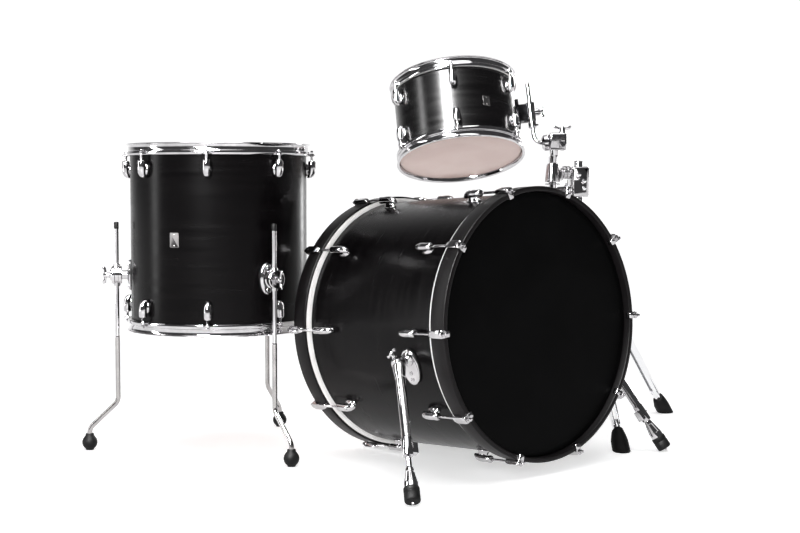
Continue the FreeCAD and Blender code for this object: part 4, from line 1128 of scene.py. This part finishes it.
# ---------------------------------------------------------------------------------------------------
# Spurs
# ---------------------------------------------------------------------------------------------------
@dataclass
class Spur:
    """One spur: plate, hub and tube, sliding rod, rubber tip and T-screw."""

    side: Side
    drum: BassDrum
    foot_x: float
    foot_y: float
    angle: float = 105.0
    along: float = 120.0
    standoff: float = 31.0
    hub_rise: float = 18.0
    tip: float = 17.0
    pad: float = 16.0
    pad_edge: float = 4.0
    tube_end: float = 196.0
    flute_band: tuple[float, float] = (-54.0, -32.0)
    flute_span: tuple[float, float] = (22.0, 68.0)

    @property
    def label(self) -> str:
        """The side's name, as the frame's nodes have it."""
        return self.side.name.lower()

    def bracket_place(self) -> Matrix:
        """The plate's place, with Z out of the shell."""
        outward = at(self.drum.radius, 0, self.along) @ turn(90, "Y")
        half_turn = turn(180 if self.side is Side.LEFT else 0)
        return self.drum.place @ turn(-self.side.value * self.angle) @ outward @ half_turn

    def leg_place(self) -> tuple[Matrix, float, float]:
        """The leg's place with Z down it, its lean from the pivot in degrees, and its length."""
        bracket = self.bracket_place()
        pivot = bracket.to_3x3() @ UP
        hub = bracket @ (Vector((0, self.hub_rise, self.standoff)) * MM)
        foot = KIT @ (Vector((self.foot_x, self.foot_y, self.tip)) * MM)
        down = (foot - hub).normalized()
        across = pivot - down * down.dot(pivot)
        lean = math.degrees(math.acos(down.dot(pivot)))
        return aligned(hub, across, down), lean, (foot - hub).length / MM

    def pad_face(self, place: Matrix) -> float:
        """How far the rubber pad reaches past the foot's middle, so that its rounded edge meets the floor."""
        down = -(place.to_3x3() @ UP).z
        edge = self.pad_edge
        return edge + (self.tip - edge - (self.pad - edge) * math.sqrt(1 - down * down)) / down

    def build_plate(self) -> Piece:
        """The oval plate on its gasket, with its domed rim, neck, pivot pin and two screws."""
        rise, standoff = self.hub_rise, self.standoff
        pad = gasket(-3.6, 1.6, 25.6, 39.6, Matrix(), 40)
        dome = smooth(grown("dome", [
            Ring(0, 0, -2.5, 24.6, 38.6), Ring(0, 0, 3.4, 24.9, 38.9), Ring(0, 0, 5.2, 23.8, 37.8),
            Ring(0, 1, 5.9, 21.0, 35.0), Ring(0, 3, 5.4, 18.6, 30.0), Ring(0, 5, 5.6, 16.0, 25.0)],
            sides=40), 50)
        neck = smooth(turned("neck", [
            (0, 2), (16.0, 2), (15.0, 8.0), (11.5, 10.6), (9.5, 13.0), (9.4, standoff - 12.4),
            (5.0, standoff - 12.4), (5.0, standoff + 5.2), (4.2, standoff + 6.0), (0, standoff + 6.0)],
            at(0, rise, 0), 36))
        screws = [smooth(turned("screw", [(0, 5), (4.2, 5), (4.2, 7.2), (3.2, 8.4), (1.4, 8.4), (1.4, 7.4),
                                          (0, 7.4)],
                                at(0, low, 0), 20)) for low in (-13.0, -27.0)]
        metal = painted(joined("metal", [dome, neck, *screws]), CHROME)
        return joined(f"{self.label}_spur_plate", [metal, pad])

    def build(self) -> None:
        """Makes the leg's pieces on their three bodies."""
        place, lean, length = self.leg_place()
        pivot = turn(lean, "Y")
        end = self.tube_end
        hub = smooth(turned("hub", [
            (5.1, -11.4), (11.8, -11.4), (13.2, -10.2), (13.4, -6.0), (13.4, 7.0), (12.6, 10.4),
            (9.6, 12.4), (6.0, 13.2), (3.4, 12.2), (3.2, 10.4), (0, 10.4), (0, 6.2), (5.1, 6.2),
            (5.1, -11.4)], pivot,
            36), 50)
        cone = smooth(turned("cone", [
            (0, 4), (14.0, 6), (14.2, 12), (12.4, 26), (11.2, 34), (11.2, 36), (10.3, 36.6), (10.0, 38),
            (10.0, end - 22), (10.9, end - 20), (11.4, end - 18), (11.4, end + 19), (10.4, end + 21),
            (6.0, end + 21), (6.0, end - 4)],
            Matrix(), 36), 40)
        lock = block("lock", (15.0, 15.0, 24.0), at(-14.0, 0, end + 2), 3.0, 1.2)
        bolt = smooth(turned("bolt", [(0, 18), (3.2, 18), (3.2, 21), (2.2, 22.2), (0, 22.2)],
                             at(0, 0, end + 2) @ turn(90, "Y"), 16))
        tube = joined(f"{self.label}_spur_sleeve", [hub, cone, smooth(lock), bolt])
        fit(set_in(tube, place), f"{self.label}_spur", CHROME, f"{self.label}_spur_tube")

        slider = smooth(turned(f"{self.label}_spur_slider", [
            (0, 92), (5.2, 92), (5.8, 93), (5.8, length - 66), (7.4, length - 64), (8.4, length - 61),
            (9.2, length - 55), (14.0, length - 31), (14.6, length - 27), (14.6, length - 20),
            (3.2, length - 20), (3.2, length + 13), (1.2, length + 18), (0, length + 19)], place, 40))
        self.cut_windows(slider, place, length)
        fit(slider, f"{self.label}_spur_rod", CHROME, f"{self.label}_spur_rod")

        pad, edge, face = self.pad, self.pad_edge, length + self.pad_face(place)
        rounded = [(pad - edge + edge * math.cos(math.radians(a)),
                    face - edge + edge * math.sin(math.radians(a)))
                   for a in (0, 22, 45, 68, 90)]
        boot = turned(f"{self.label}_spur_boot", [
            (3.3, length - 20), (14.2, length - 20), (15.6, length - 19.2), (pad, length - 17.6),
            (pad, length - 10.0), (pad - 0.7, length - 9.4), (pad - 0.7, length - 8.2), (pad, length - 7.6)]
            + rounded + [(3.3, face), (3.3, length - 20)], place, 44)
        fit(smooth(boot, 50), f"{self.label}_spur_rod", RUBBER, f"{self.label}_spur_tip")

        key = self.build_key()
        set_in(key, place @ pivot @ at(13.5) @ turn(90, "Y"))
        fit(key, f"{self.label}_spur_key", CHROME, f"{self.label}_spur_key")

    def cut_windows(self, slider: Piece, place: Matrix, length: float) -> None:
        """Presses four shallow flutes into the flare above the rubber.

        Args:
            slider: The rod with its flare.
            place: The leg's place.
            length: The leg's length.
        """
        back = place.inverted()

        def in_flute(face: bmesh.types.BMFace) -> bool:
            """Whether a face of the flare lies in a flute."""
            spot = back @ face.calc_center_median()
            height = spot.z / MM - length
            step = math.degrees(math.atan2(spot.y, spot.x)) % 90.0
            low, high = self.flute_band
            start, stop = self.flute_span
            return low < height < high and start < step < stop

        with shaping(slider):
            if pick(slider, Pick.FACES, in_flute):
                bpy.ops.mesh.inset(thickness=1.2 * MM, depth=-1.6 * MM)
        smooth(slider, 40)

    def build_key(self) -> Piece:
        """The T-screw: stem, collar, cross bar and its two balls."""
        stem = turned("stem", [
            (0, -7), (3.0, -7), (3.0, 0.8), (5.6, 0.8), (6.0, 1.6), (5.0, 4.4), (4.0, 6.2), (4.4, 9.0),
            (4.9, 12.0), (4.4, 14.8), (2.6, 16.4), (0, 17.0)], Matrix(), 24)
        bar = turned("bar", [
            (0, -16.4), (2.4, -15.8), (3.7, -13.6), (3.7, -12.0), (2.5, -9.8), (2.2, -7.0), (2.2, 7.0),
            (2.5, 9.8), (3.7, 12.0), (3.7, 13.6), (2.4, 15.8), (0, 16.4)], at(0, 0, 13.0) @ turn(90, "X"),
            20)
        return smooth(joined(f"{self.label}_spur_screw", [stem, bar]))


# ---------------------------------------------------------------------------------------------------
# Floor tom's legs
# ---------------------------------------------------------------------------------------------------
@dataclass
class FloorTomLegs:
    """Three bent legs with rubber feet, their brackets on the shell, and the wing bolts that clamp them."""

    drum: Tom
    ground: Matrix
    angles: tuple[float, ...] = (-94.0, 146.0, 26.0)
    reach: float = 236.0
    foot_reach: float = 302.0
    top: float = 529.0
    step: float = 264.0
    bend_top: float = 112.0
    bend_low: float = 50.0
    bracket_height: float = 406.0
    foot: float = 17.5
    foot_tall: float = 38.0

    def bracket(self) -> Piece:
        """A curved plate on a gasket, a stem, and the round eye with its two knurled rims."""
        facing = at(self.drum.radius) @ turn(90, "Y")
        out = self.reach - self.drum.radius
        pad = gasket(-4.0, 1.6, 35.6, 18.6, facing, 36)
        plate_piece = smooth(grown("plate", [
            Ring(0, 0, -2.0, 34.6, 17.6), Ring(0, 0, 4.0, 34.9, 17.9), Ring(0, 0, 5.6, 33.6, 16.6),
            Ring(0, 0, 6.0, 29.0, 13.6), Ring(0, 0, 7.6, 21.0, 12.6)], facing, 36), 50)
        stem = smooth(turned("stem", [
            (0, 3), (12.6, 3), (11.4, 8.0), (10.6, 12.0), (10.6, out - 12)], facing, 32))
        eye = smooth(turned("eye", [
            (0, out - 12), (19.4, out - 12), (20.8, out - 10.6), (20.8, out - 5.0), (18.8, out - 3.6),
            (18.8, out + 3.6), (20.8, out + 5.0), (20.8, out + 10.4), (19.2, out + 12), (12.6, out + 12),
            (12.0, out + 15.8), (4.1, out + 15.8), (4.1, out + 8), (0, out + 8)], facing, 44), 40)
        sleeve = smooth(turned("sleeve", [
            (5.0, -25.0), (7.4, -25.0), (8.0, -24.0), (8.0, 24.0), (7.4, 25.0), (5.0, 25.0), (5.0, -25.0)],
            at(self.reach), 28))
        screws = [smooth(turned("screw", [(0, 5), (4.0, 5), (4.0, 8.0), (3.0, 9.2), (1.4, 9.2), (1.4, 8.2),
                                          (0, 8.2)],
                                facing @ at(side * 25.0), 20)) for side in (-1, 1)]
        metal = painted(joined("metal", [plate_piece, stem, eye, sleeve, *screws]), CHROME)
        return joined("bracket", [metal, pad])

    def leg(self, index: int, place: Matrix) -> None:
        """One leg with its cap and its rubber foot.

        Args:
            index: The leg's number.
            place: The leg's place, with X away from the drum.
        """
        body = f"floor_tom_leg_{index}"
        upper = turned("upper", [
            (0, self.step - 1), (4.9, self.step - 1), (4.9, self.top - 14), (0, self.top - 14)],
            at(self.reach), 24)
        lower = rod("lower", 5.8, [
            (Vector((self.reach, 0, self.step)), 0.0), (Vector((self.reach, 0, self.bend_top)), 25.0),
            (Vector((self.foot_reach, 0, self.bend_low)), 25.0), (Vector((self.foot_reach, 0, 14.0)), 0.0)],
            sides=24)
        collar = turned("collar", [(4.9, self.step + 0.8), (5.6, self.step + 0.6), (5.9, self.step - 0.6),
                                   (5.9, self.step - 3.0), (4.9, self.step - 3.0)], at(self.reach), 24)
        bright = painted(smooth(joined("bright", [upper, collar])), CHROME)
        rods = joined(f"{body}_rod", [bright, painted(smooth(lower), DULL_CHROME)])
        fit(set_in(rods, place), body, CHROME, body)
        cap = smooth(turned(f"{body}_cap", [
            (0, self.top - 16), (5.3, self.top - 16), (5.5, self.top - 15), (5.5, self.top - 2.0),
            (4.6, self.top - 0.6), (2.0, self.top), (0, self.top)], place @ at(self.reach), 24))
        fit(cap, body, RUBBER)
        ball, tall = self.foot, self.foot_tall
        sides = [(ball * math.cos(math.radians(a)), ball + ball * math.sin(math.radians(a)))
                 for a in (-56, -40, -24, -8, 8, 24, 38)]
        foot = smooth(turned(f"floor_tom_rubber_foot_{index}", [
            (0, 0.0), (9.0, 0.0)] + sides + [
            (11.6, tall - 6.8), (9.8, tall - 5.0), (9.6, tall - 1.0), (8.8, tall), (5.9, tall), (5.9, 14.2),
            (0, 14.2)],
            place @ at(self.foot_reach), 40), 50)
        fit(foot, body, RUBBER, f"floor_tom_foot_{index}")

    def build(self) -> None:
        """Makes the brackets, the legs and the wing bolts."""
        height = at(0, 0, self.bracket_height)
        places = [self.ground @ turn(angle) for angle in self.angles]
        brackets = repeated("floor_tom_cast_brackets", self.bracket(), [place @ height for place in places])
        fit(brackets, self.drum.body, CHROME, "floor_tom_leg_brackets")
        for index, place in enumerate(places, start=1):
            self.leg(index, place)
            bolt_place = place @ height @ at(self.reach + 16.2) @ turn(90, "Y")
            bolt = wing_bolt(f"floor_tom_wing_{index}", bolt_place, 9.0, 9.0, 42.0)
            fit(bolt, f"floor_tom_wing_bolt_{index}", CHROME, f"floor_tom_wing_bolt_{index}")


# ---------------------------------------------------------------------------------------------------
# Stand and holder
# ---------------------------------------------------------------------------------------------------
@dataclass
class Stand:
    """The tripod stand: its tubes and clamp, collar, double-strip legs, braces and boots."""

    place: Matrix
    angles: tuple[float, ...] = (-121.5, -1.5, 118.5)
    hub: float = 34.0
    hub_height: float = 420.0
    spread: float = 317.0
    ankle: float = 44.0
    tube_top: float = 520.0
    plug: float = 672.0
    bolt_reach: float = 34.3

    def boot(self) -> Piece:
        """A rubber boot that leans with its leg: a flat ribbed sole, and a sleeve up to the strips."""
        slope = math.atan2(self.spread - self.hub, self.hub_height - self.ankle)

        def level(height: float, long: float, wide: float) -> Ring:
            """A section flat over the floor."""
            return Ring(self.spread + (self.ankle - height) * math.tan(slope), 0, height, long, wide)

        def leaning(back: float, radius: float, share: float = 1.0) -> Ring:
            """A section square to the leg, at a distance down from the ankle."""
            return Ring(self.spread + back * math.sin(slope), 0, self.ankle - back * math.cos(slope),
                        radius,
                        radius, math.degrees(slope) * share)

        rings = [level(0.0, 21.4, 18.4), level(1.2, 22.8, 19.8), level(2.8, 24.0, 21.0),
                 level(4.2, 24.0, 21.0),
                 level(4.8, 23.0, 20.0), level(6.0, 23.0, 20.0), level(6.6, 23.8, 20.8),
                 level(10.0, 23.4, 20.6),
                 leaning(26.0, 20.0, 0.55), leaning(14.0, 17.4), leaning(4.0, 14.4), leaning(1.0, 13.4),
                 leaning(0.0, 11.4)]
        return smooth(grown("boot", rings, sides=36), 50)

    def build(self) -> None:
        """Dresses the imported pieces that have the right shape, and makes the ones that need more."""
        for index, angle in enumerate(self.angles, start=1):
            boot = set_in(self.boot(), self.place @ turn(angle))
            boot.name = f"stand_boot_{index}"
            fit(boot, f"stand_leg_{index}", RUBBER, f"stand_foot_{index}")
            leg = traced(f"stand_strips_{index}", f"stand_leg_{index}", 0.5)
            fit(leg, f"stand_leg_{index}", CHROME, f"stand_leg_{index}")
            brace = traced(f"stand_brace_strip_{index}", f"stand_brace_{index}", 0.5)
            fit(brace, f"stand_brace_{index}", CHROME, f"stand_brace_{index}")
        for name, node, body, rounding in (
                ("stand_lower_tube", "stand_base_tube", "kit_base", 0.5),
                ("stand_sliding_collar", "stand_leg_collar", "stand_leg_collar", 0.8),
                ("stand_cast_clamp", "stand_height_clamp", "kit_base", 0.9),
                ("stand_inner_tube", "stand_upper_tube", "stand_upper_tube", 0.3)):
            fit(traced(name, node, rounding), body, CHROME, node)
        bolt_place = self.place @ turn(-90) @ at(self.bolt_reach, 0, self.tube_top + 3) @ turn(90, "Y")
        bolt = wing_bolt("stand_wing", bolt_place, 9.0, 8.0, 40.0)
        fit(bolt, "stand_wing_bolt", CHROME, "stand_wing_bolt")
        plug = self.plug
        cap = turned("stand_tube_plug", [
            (0, plug - 4), (9.2, plug - 4), (9.2, plug - 0.1), (10.9, plug + 0.1), (10.9, plug + 1.0),
            (8.0, plug + 2.0), (0, plug + 2.2)], self.place, 28)
        fit(smooth(cap), "stand_upper_tube", RUBBER)


@dataclass
class Holder:
    """The tom's holder: the clamp on the stand, the post and block, the T-handle, the rod and the bracket."""

    drum: Tom
    stand: Stand
    bracket_angle: float = 161.8
    rod_offset: float = 36.0
    rod_drop: float = 85.0
    rod_top: float = 80.0
    stop_drop: float = 34.0
    arm: float = 57.0
    block_side: float = 44.0
    post_offset: float = 12.0
    clamp_height: float = 620.0
    collar_steps: int = 60
    tooth_root: float = 18.2

    def __post_init__(self) -> None:
        """Works out the holder's places from the drum and the stand."""
        reach = self.drum.radius + self.rod_offset
        self.bracket_place = self.drum.place @ turn(self.bracket_angle)
        self.rod_place = self.bracket_place @ at(reach, 0, -self.rod_drop)
        self.reach = reach
        middle = self.rod_place @ (Vector((self.arm, 0, 0)) * MM)
        direction = self.rod_place.to_3x3() @ Vector((1.0, 0.0, 0.0))
        level = Vector((direction.x, direction.y, 0)).normalized()
        self.direction = direction
        self.block_place = aligned(middle, level, UP)
        post = middle - level * self.post_offset * MM
        base = self.stand.place.to_translation()
        across = Vector((post.x - base.x, post.y - base.y, 0))
        self.post_reach = across.length / MM
        self.clamp_place = aligned(base, across, UP)

    def build_rod(self) -> Piece:
        """The L-rod with its memory stop, and the toothed collar at the end of its short arm."""
        half = self.block_side / 2
        arm_start = self.arm - half
        bar = rod("bar", 5.3, [
            (Vector((0, 0, self.rod_drop + self.rod_top)), 0.0), (Vector((0, 0, 0)), 24.0),
            (Vector((28, 0, 0)), 0.0)], sides=24)
        end, start = arm_start - 0.4, arm_start - 18.0
        collar = turned("collar", [
            (0, start), (12.8, start), (14.0, start + 1.0), (19.0, start + 5.0), (20.0, start + 6.4),
            (20.0, end - 1.5), (18.6, end), (7.0, end), (7.0, end + 11.0), (0, end + 11.0)], turn(90, "Y"),
            self.collar_steps)
        with shaping(collar):
            pick(collar, Pick.FACES, self.is_gap)
            bpy.ops.mesh.inset(thickness=0.35 * MM, depth=-0.9 * MM, use_individual=True)
        stop = turned("stop", [
            (5.4, -7), (9.6, -7), (10.4, -6), (10.4, 6), (9.6, 7), (5.4, 7), (5.4, -7)],
            at(0, 0, self.rod_drop - self.stop_drop), 32)
        screw = block("screw", (7.0, 6.0, 6.0), at(11.5, 0, self.rod_drop - self.stop_drop), 1.0, 0.8)
        piece = joined("tom_holder_bar", [smooth(bar), smooth(collar, 30), smooth(stop), smooth(screw)])
        return fit(set_in(piece, self.rod_place), "tom_holder_rod", CHROME, "tom_holder_rod")

    def is_gap(self, face: bmesh.types.BMFace) -> bool:
        """Whether a face of the collar's outer band, about X, is one of those cut in between its teeth."""
        spot = face.calc_center_median()
        radius = math.hypot(spot.y, spot.z) / MM
        step = int(math.degrees(math.atan2(spot.z, spot.y)) % 360.0 / (360.0 / self.collar_steps))
        return radius > self.tooth_root and abs(face.normal.x) < 0.5 and step % 2 == 0

    def build_post(self) -> Piece:
        """The post and the split block on it, with the line where its halves meet."""
        body = traced("cast", "tom_holder_post", 2.2, 50)
        half = self.block_side / 2
        seam = painted(block("seam", (1.2, 38.3, 30.0), self.block_place @ at(4.0, 0, -1.0), 0, 0.2),
                       DARK_PLATE)
        nut = painted(smooth(turned("nut", [(0, 0), (8.6, 0), (8.6, 3.4), (7.4, 4.6), (4.0, 4.6),
                                            (4.0, 3.4), (0, 3.4)],
                                    self.block_place @ at(12.0, -19.0, -6.0) @ turn(90, "X"), 6)), CHROME)
        rim = painted(smooth(turned("rim", [
            (7.4, -2.0), (18.5, -2.0), (19.4, -1.2), (19.4, 1.2), (18.5, 2.2), (7.4, 2.2), (7.4, -2.0)],
            self.rod_place @ at(self.arm - half + 1.9) @ turn(90, "Y"), 44)), DARK_PLATE)
        piece = joined("tom_holder_block", [painted(body, CHROME), seam, nut, rim])
        return fit(piece, "tom_holder_post", CHROME, "tom_holder_post")

    def build_clamp(self) -> None:
        """The clamp's jaws and toothed joint, and its screws."""
        body = painted(traced("jaws", "tom_clamp", 1.4, 40), CHROME)
        height = self.clamp_height
        bands = [painted(smooth(turned("band", [
            (radius, -1.4), (radius + 1.6, -0.8), (radius + 1.6, 0.8), (radius, 1.4), (radius - 2.0, 0),
            (radius, -1.4)],
            self.clamp_place @ at(self.post_reach, 0, height + z), 40)), CHROME)
            for radius, z in ((19.6, -18.0), (18.2, -4.0), (16.8, 12.0))]
        fit(joined("tom_clamp_jaws", [body, *bands]), "tom_clamp", CHROME, "tom_clamp")
        fit(traced("tom_clamp_bolts", "tom_clamp_screws", 0.5), "tom_clamp", CHROME, "tom_clamp_screws")

    def build_bracket(self) -> None:
        """The bracket on the tom: a dark plate and stem, a bright eye, and its wing bolt."""
        body = traced("casting", "rack_tom_bracket", 1.2, 40)
        painted(body, DARK_PLATE)
        eye = turned("eye", [
            (5.5, -25.4), (10.6, -25.4), (11.9, -24.2), (11.9, 24.2), (10.6, 25.4), (5.5, 25.4),
            (5.5, -25.4)],
            self.bracket_place @ at(self.reach), 36)
        boss = turned("boss", [
            (4.2, 9.5), (9.3, 9.5), (9.3, 18.8), (8.4, 19.9), (4.2, 19.9), (4.2, 9.5)],
            self.bracket_place @ at(self.reach) @ turn(90, "Y"), 32)
        bright = painted(smooth(joined("bright", [eye, boss])), CHROME)
        fit(joined("rack_tom_mount", [body, bright]), "rack_tom", DARK_PLATE, "rack_tom_bracket")
        bolt_place = self.bracket_place @ at(self.reach + 20.3) @ turn(90, "Y")
        fit(wing_bolt("rack_tom_wing", bolt_place, 9.0, 5.0, 30.0), "rack_tom_wing_bolt", CHROME,
            "rack_tom_wing_bolt")

    def build(self) -> None:
        """Makes the holder's pieces."""
        self.build_rod()
        self.build_post()
        handle = wing_bolt("tom_holder_wing", self.block_place @ at(12.0, 0, self.block_side / 2 + 3.4),
                           9.0, 6.0, 44.0)
        fit(handle, "tom_holder_handle", CHROME, "tom_holder_handle")
        self.build_clamp()
        self.build_bracket()


# ---------------------------------------------------------------------------------------------------
# Studio
# ---------------------------------------------------------------------------------------------------
@dataclass(frozen=True)
class Softbox:
    """A rectangular light that shows only as a highlight, or only as a fill for the shade."""

    name: str
    source: Colour
    target: Colour
    size: tuple[float, float]
    power: float
    fill: bool = False

    def build(self) -> None:
        """Sets the light up at its source, facing its target."""
        data = bpy.data.lights.new(self.name, "AREA")
        data.shape = "RECTANGLE"
        data.size, data.size_y = self.size
        data.energy = self.power
        lamp = placed(self.name, data, self.source, Vector(self.target) - Vector(self.source))
        lamp.visible_camera = False
        lamp.visible_diffuse = self.fill
        lamp.visible_glossy = not self.fill


def placed(name: str, data: bpy.types.ID, where: Colour, towards: Colour | Vector) -> Piece:
    """Puts a light or a camera in the scene at a spot in metres, facing along a direction."""
    thing = bpy.data.objects.new(name, data)
    bpy.context.scene.collection.objects.link(thing)
    thing.location = where
    thing.rotation_euler = Vector(towards).to_track_quat("-Z", "Y").to_euler()
    return thing


@dataclass(frozen=True)
class Studio:
    """The pale floor, the soft lights and the camera."""

    eye: Colour = (-2.3677, -2.4951, 0.6141)
    heading: Colour = (0.6627, 0.7467, -0.0570)
    lens: float = 64.35
    sensor: float = 36.0
    sight: float = 200.0
    floor_radius: float = 60.0
    floor_glow: float = 0.55
    floor_roughness: float = 0.9
    sky_stops: tuple[float, float] = (0.58, 0.93)
    sky_dim: Colour = (0.07, 0.07, 0.072)
    sky_bright: Colour = (1.05, 1.05, 1.05)
    key_travel: Colour = (0.18, 0.10, -0.98)
    key_power: float = 1.5
    key_spread: float = 50.0
    softboxes: tuple[Softbox, ...] = (
        Softbox("tom_strip", (-1.74, -0.72, 2.17), (0.15, 0.13, 0.78), (0.42, 2.6), 420.0),
        Softbox("low_fill", (-2.6, -2.2, 0.9), (0.0, 0.0, 0.6), (2.0, 1.6), 70.0, fill=True),
        Softbox("right_strip", (3.0, 1.0, 1.4), (0.2, 0.0, 0.6), (0.5, 2.4), 45.0),
        Softbox("left_strip", (-2.6, 1.6, 1.2), (-0.3, 0.1, 0.5), (0.4, 2.2), 25.0))

    def build_floor(self) -> None:
        """A wide matt floor, whose middle is finer than its rim."""
        put_down()
        bpy.ops.mesh.primitive_circle_add(vertices=96, radius=self.floor_radius, fill_type="NGON")
        floor = new_piece("studio_floor")
        with shaping(floor):
            bpy.ops.mesh.inset(thickness=self.floor_radius * 0.9, depth=0)
            close_up()
        recipe = Recipe("studio_paper")
        paper = recipe.noise(recipe.coordinates, scale=3.0)
        recipe.drive("Base Color", recipe.blend(paper, (0.86, 0.86, 0.865), (0.88, 0.88, 0.88)))
        recipe.set("Roughness", self.floor_roughness)
        recipe.set("Specular IOR Level", 0.0)
        recipe.set("Emission Color", (1.0, 1.0, 1.0, 1.0))
        recipe.set("Emission Strength", self.floor_glow)
        floor.data.materials.append(recipe.made)

    def build_world(self) -> None:
        world = bpy.data.worlds.new("studio")
        bpy.context.scene.world = world
        world.use_nodes = True
        tree = world.node_tree
        sky = tree.nodes["Background"]
        coordinates = tree.nodes.new("ShaderNodeTexCoord")
        ahead = tree.nodes.new("ShaderNodeVectorMath")
        ahead.operation = "DOT_PRODUCT"
        ahead.inputs[1].default_value = Vector((self.heading[0], self.heading[1], 0.0)).normalized()
        tree.links.new(coordinates.outputs["Generated"], ahead.inputs[0])
        ramp = tree.nodes.new("ShaderNodeValToRGB")
        set_ramp(ramp, self.sky_stops, (self.sky_dim, self.sky_bright))
        tree.links.new(ahead.outputs["Value"], ramp.inputs["Fac"])
        tree.links.new(ramp.outputs["Color"], sky.inputs["Color"])

    def build_lights(self) -> None:
        """A broad soft key from high on the left of the camera, and softboxes above and to the right."""
        data = bpy.data.lights.new("key", "SUN")
        data.energy = self.key_power
        data.angle = math.radians(self.key_spread)
        placed("key", data, (0.0, 0.0, 0.0), self.key_travel)
        for softbox in self.softboxes:
            softbox.build()

    def build_camera(self) -> None:
        data = bpy.data.cameras.new("camera")
        data.lens = self.lens
        data.sensor_width = self.sensor
        data.clip_end = self.sight
        bpy.context.scene.camera = placed("camera", data, self.eye, self.heading)

    def build(self) -> None:
        """Makes the whole studio."""
        self.build_camera()
        self.build_floor()
        self.build_world()
        self.build_lights()
        bpy.context.scene.view_settings.view_transform = "Standard"


def bass_place() -> Matrix:
    """The bass drum's place: Z to its front, X to its top, tilted back on its spurs."""
    tilt = math.radians(3.2)
    front = Vector((0, -math.cos(tilt), math.sin(tilt)))
    rim = BassDrum.hoop_outer * math.cos(tilt) + BassDrum.hoop_top * math.sin(tilt)
    return KIT @ aligned(Vector((0, 0, rim)) * MM, UP, front)


def rack_tom_place() -> Matrix:
    """The rack tom's place: Z up its leaning axis."""
    tilt, lean = math.radians(20.6), math.radians(63.4)
    up = Vector((math.sin(tilt) * math.cos(lean), math.sin(tilt) * math.sin(lean), math.cos(tilt)))
    return KIT @ aligned(Vector((289.9, 326.3, 775.1)) * MM, UP.cross(up), up)


def main() -> None:
    logging.basicConfig(level=logging.INFO, format="%(name)s: %(message)s")
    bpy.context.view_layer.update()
    put_down()

    bass = BassDrum("bass", bass_place(), radius=279.4, half=228.6, wall=7.5, body="kit_base")
    bass.build()
    spurs = [Spur(Side.LEFT, bass, foot_x=-416.0, foot_y=-288.0),
             Spur(Side.RIGHT, bass, foot_x=394.0, foot_y=-252.0)]
    plates = [set_in(spur.build_plate(), spur.bracket_place()) for spur in spurs]
    fit(joined("spur_cast_plates", plates), "kit_base", CHROME, "spur_brackets")
    for spur in spurs:
        spur.build()

    ground = KIT @ at(-332.9, 475.7)
    floor_tom = Tom("floor_tom", ground @ at(0, 0, 493.8), radius=203.2, half=203.2, wall=6.5,
                    body="kit_base", lug_start=3.5)
    floor_tom.build()
    floor_tom.badge(angle=-153.3, height=-1.3)
    FloorTomLegs(floor_tom, ground).build()

    rack_tom = Tom("rack_tom", rack_tom_place(), radius=152.4, half=95.1, wall=6.5, body="rack_tom",
                   sheen=0.55, lug_count=6, lug_start=11.8)
    rack_tom.build()
    rack_tom.badge(angle=101.8, height=-9.0, wide=18.0, tall=26.0)
    stand = Stand(KIT @ at(501.5, 104.0))
    stand.build()
    Holder(rack_tom, stand).build()

    Studio().build()


if __name__ == "__main__":
    main()
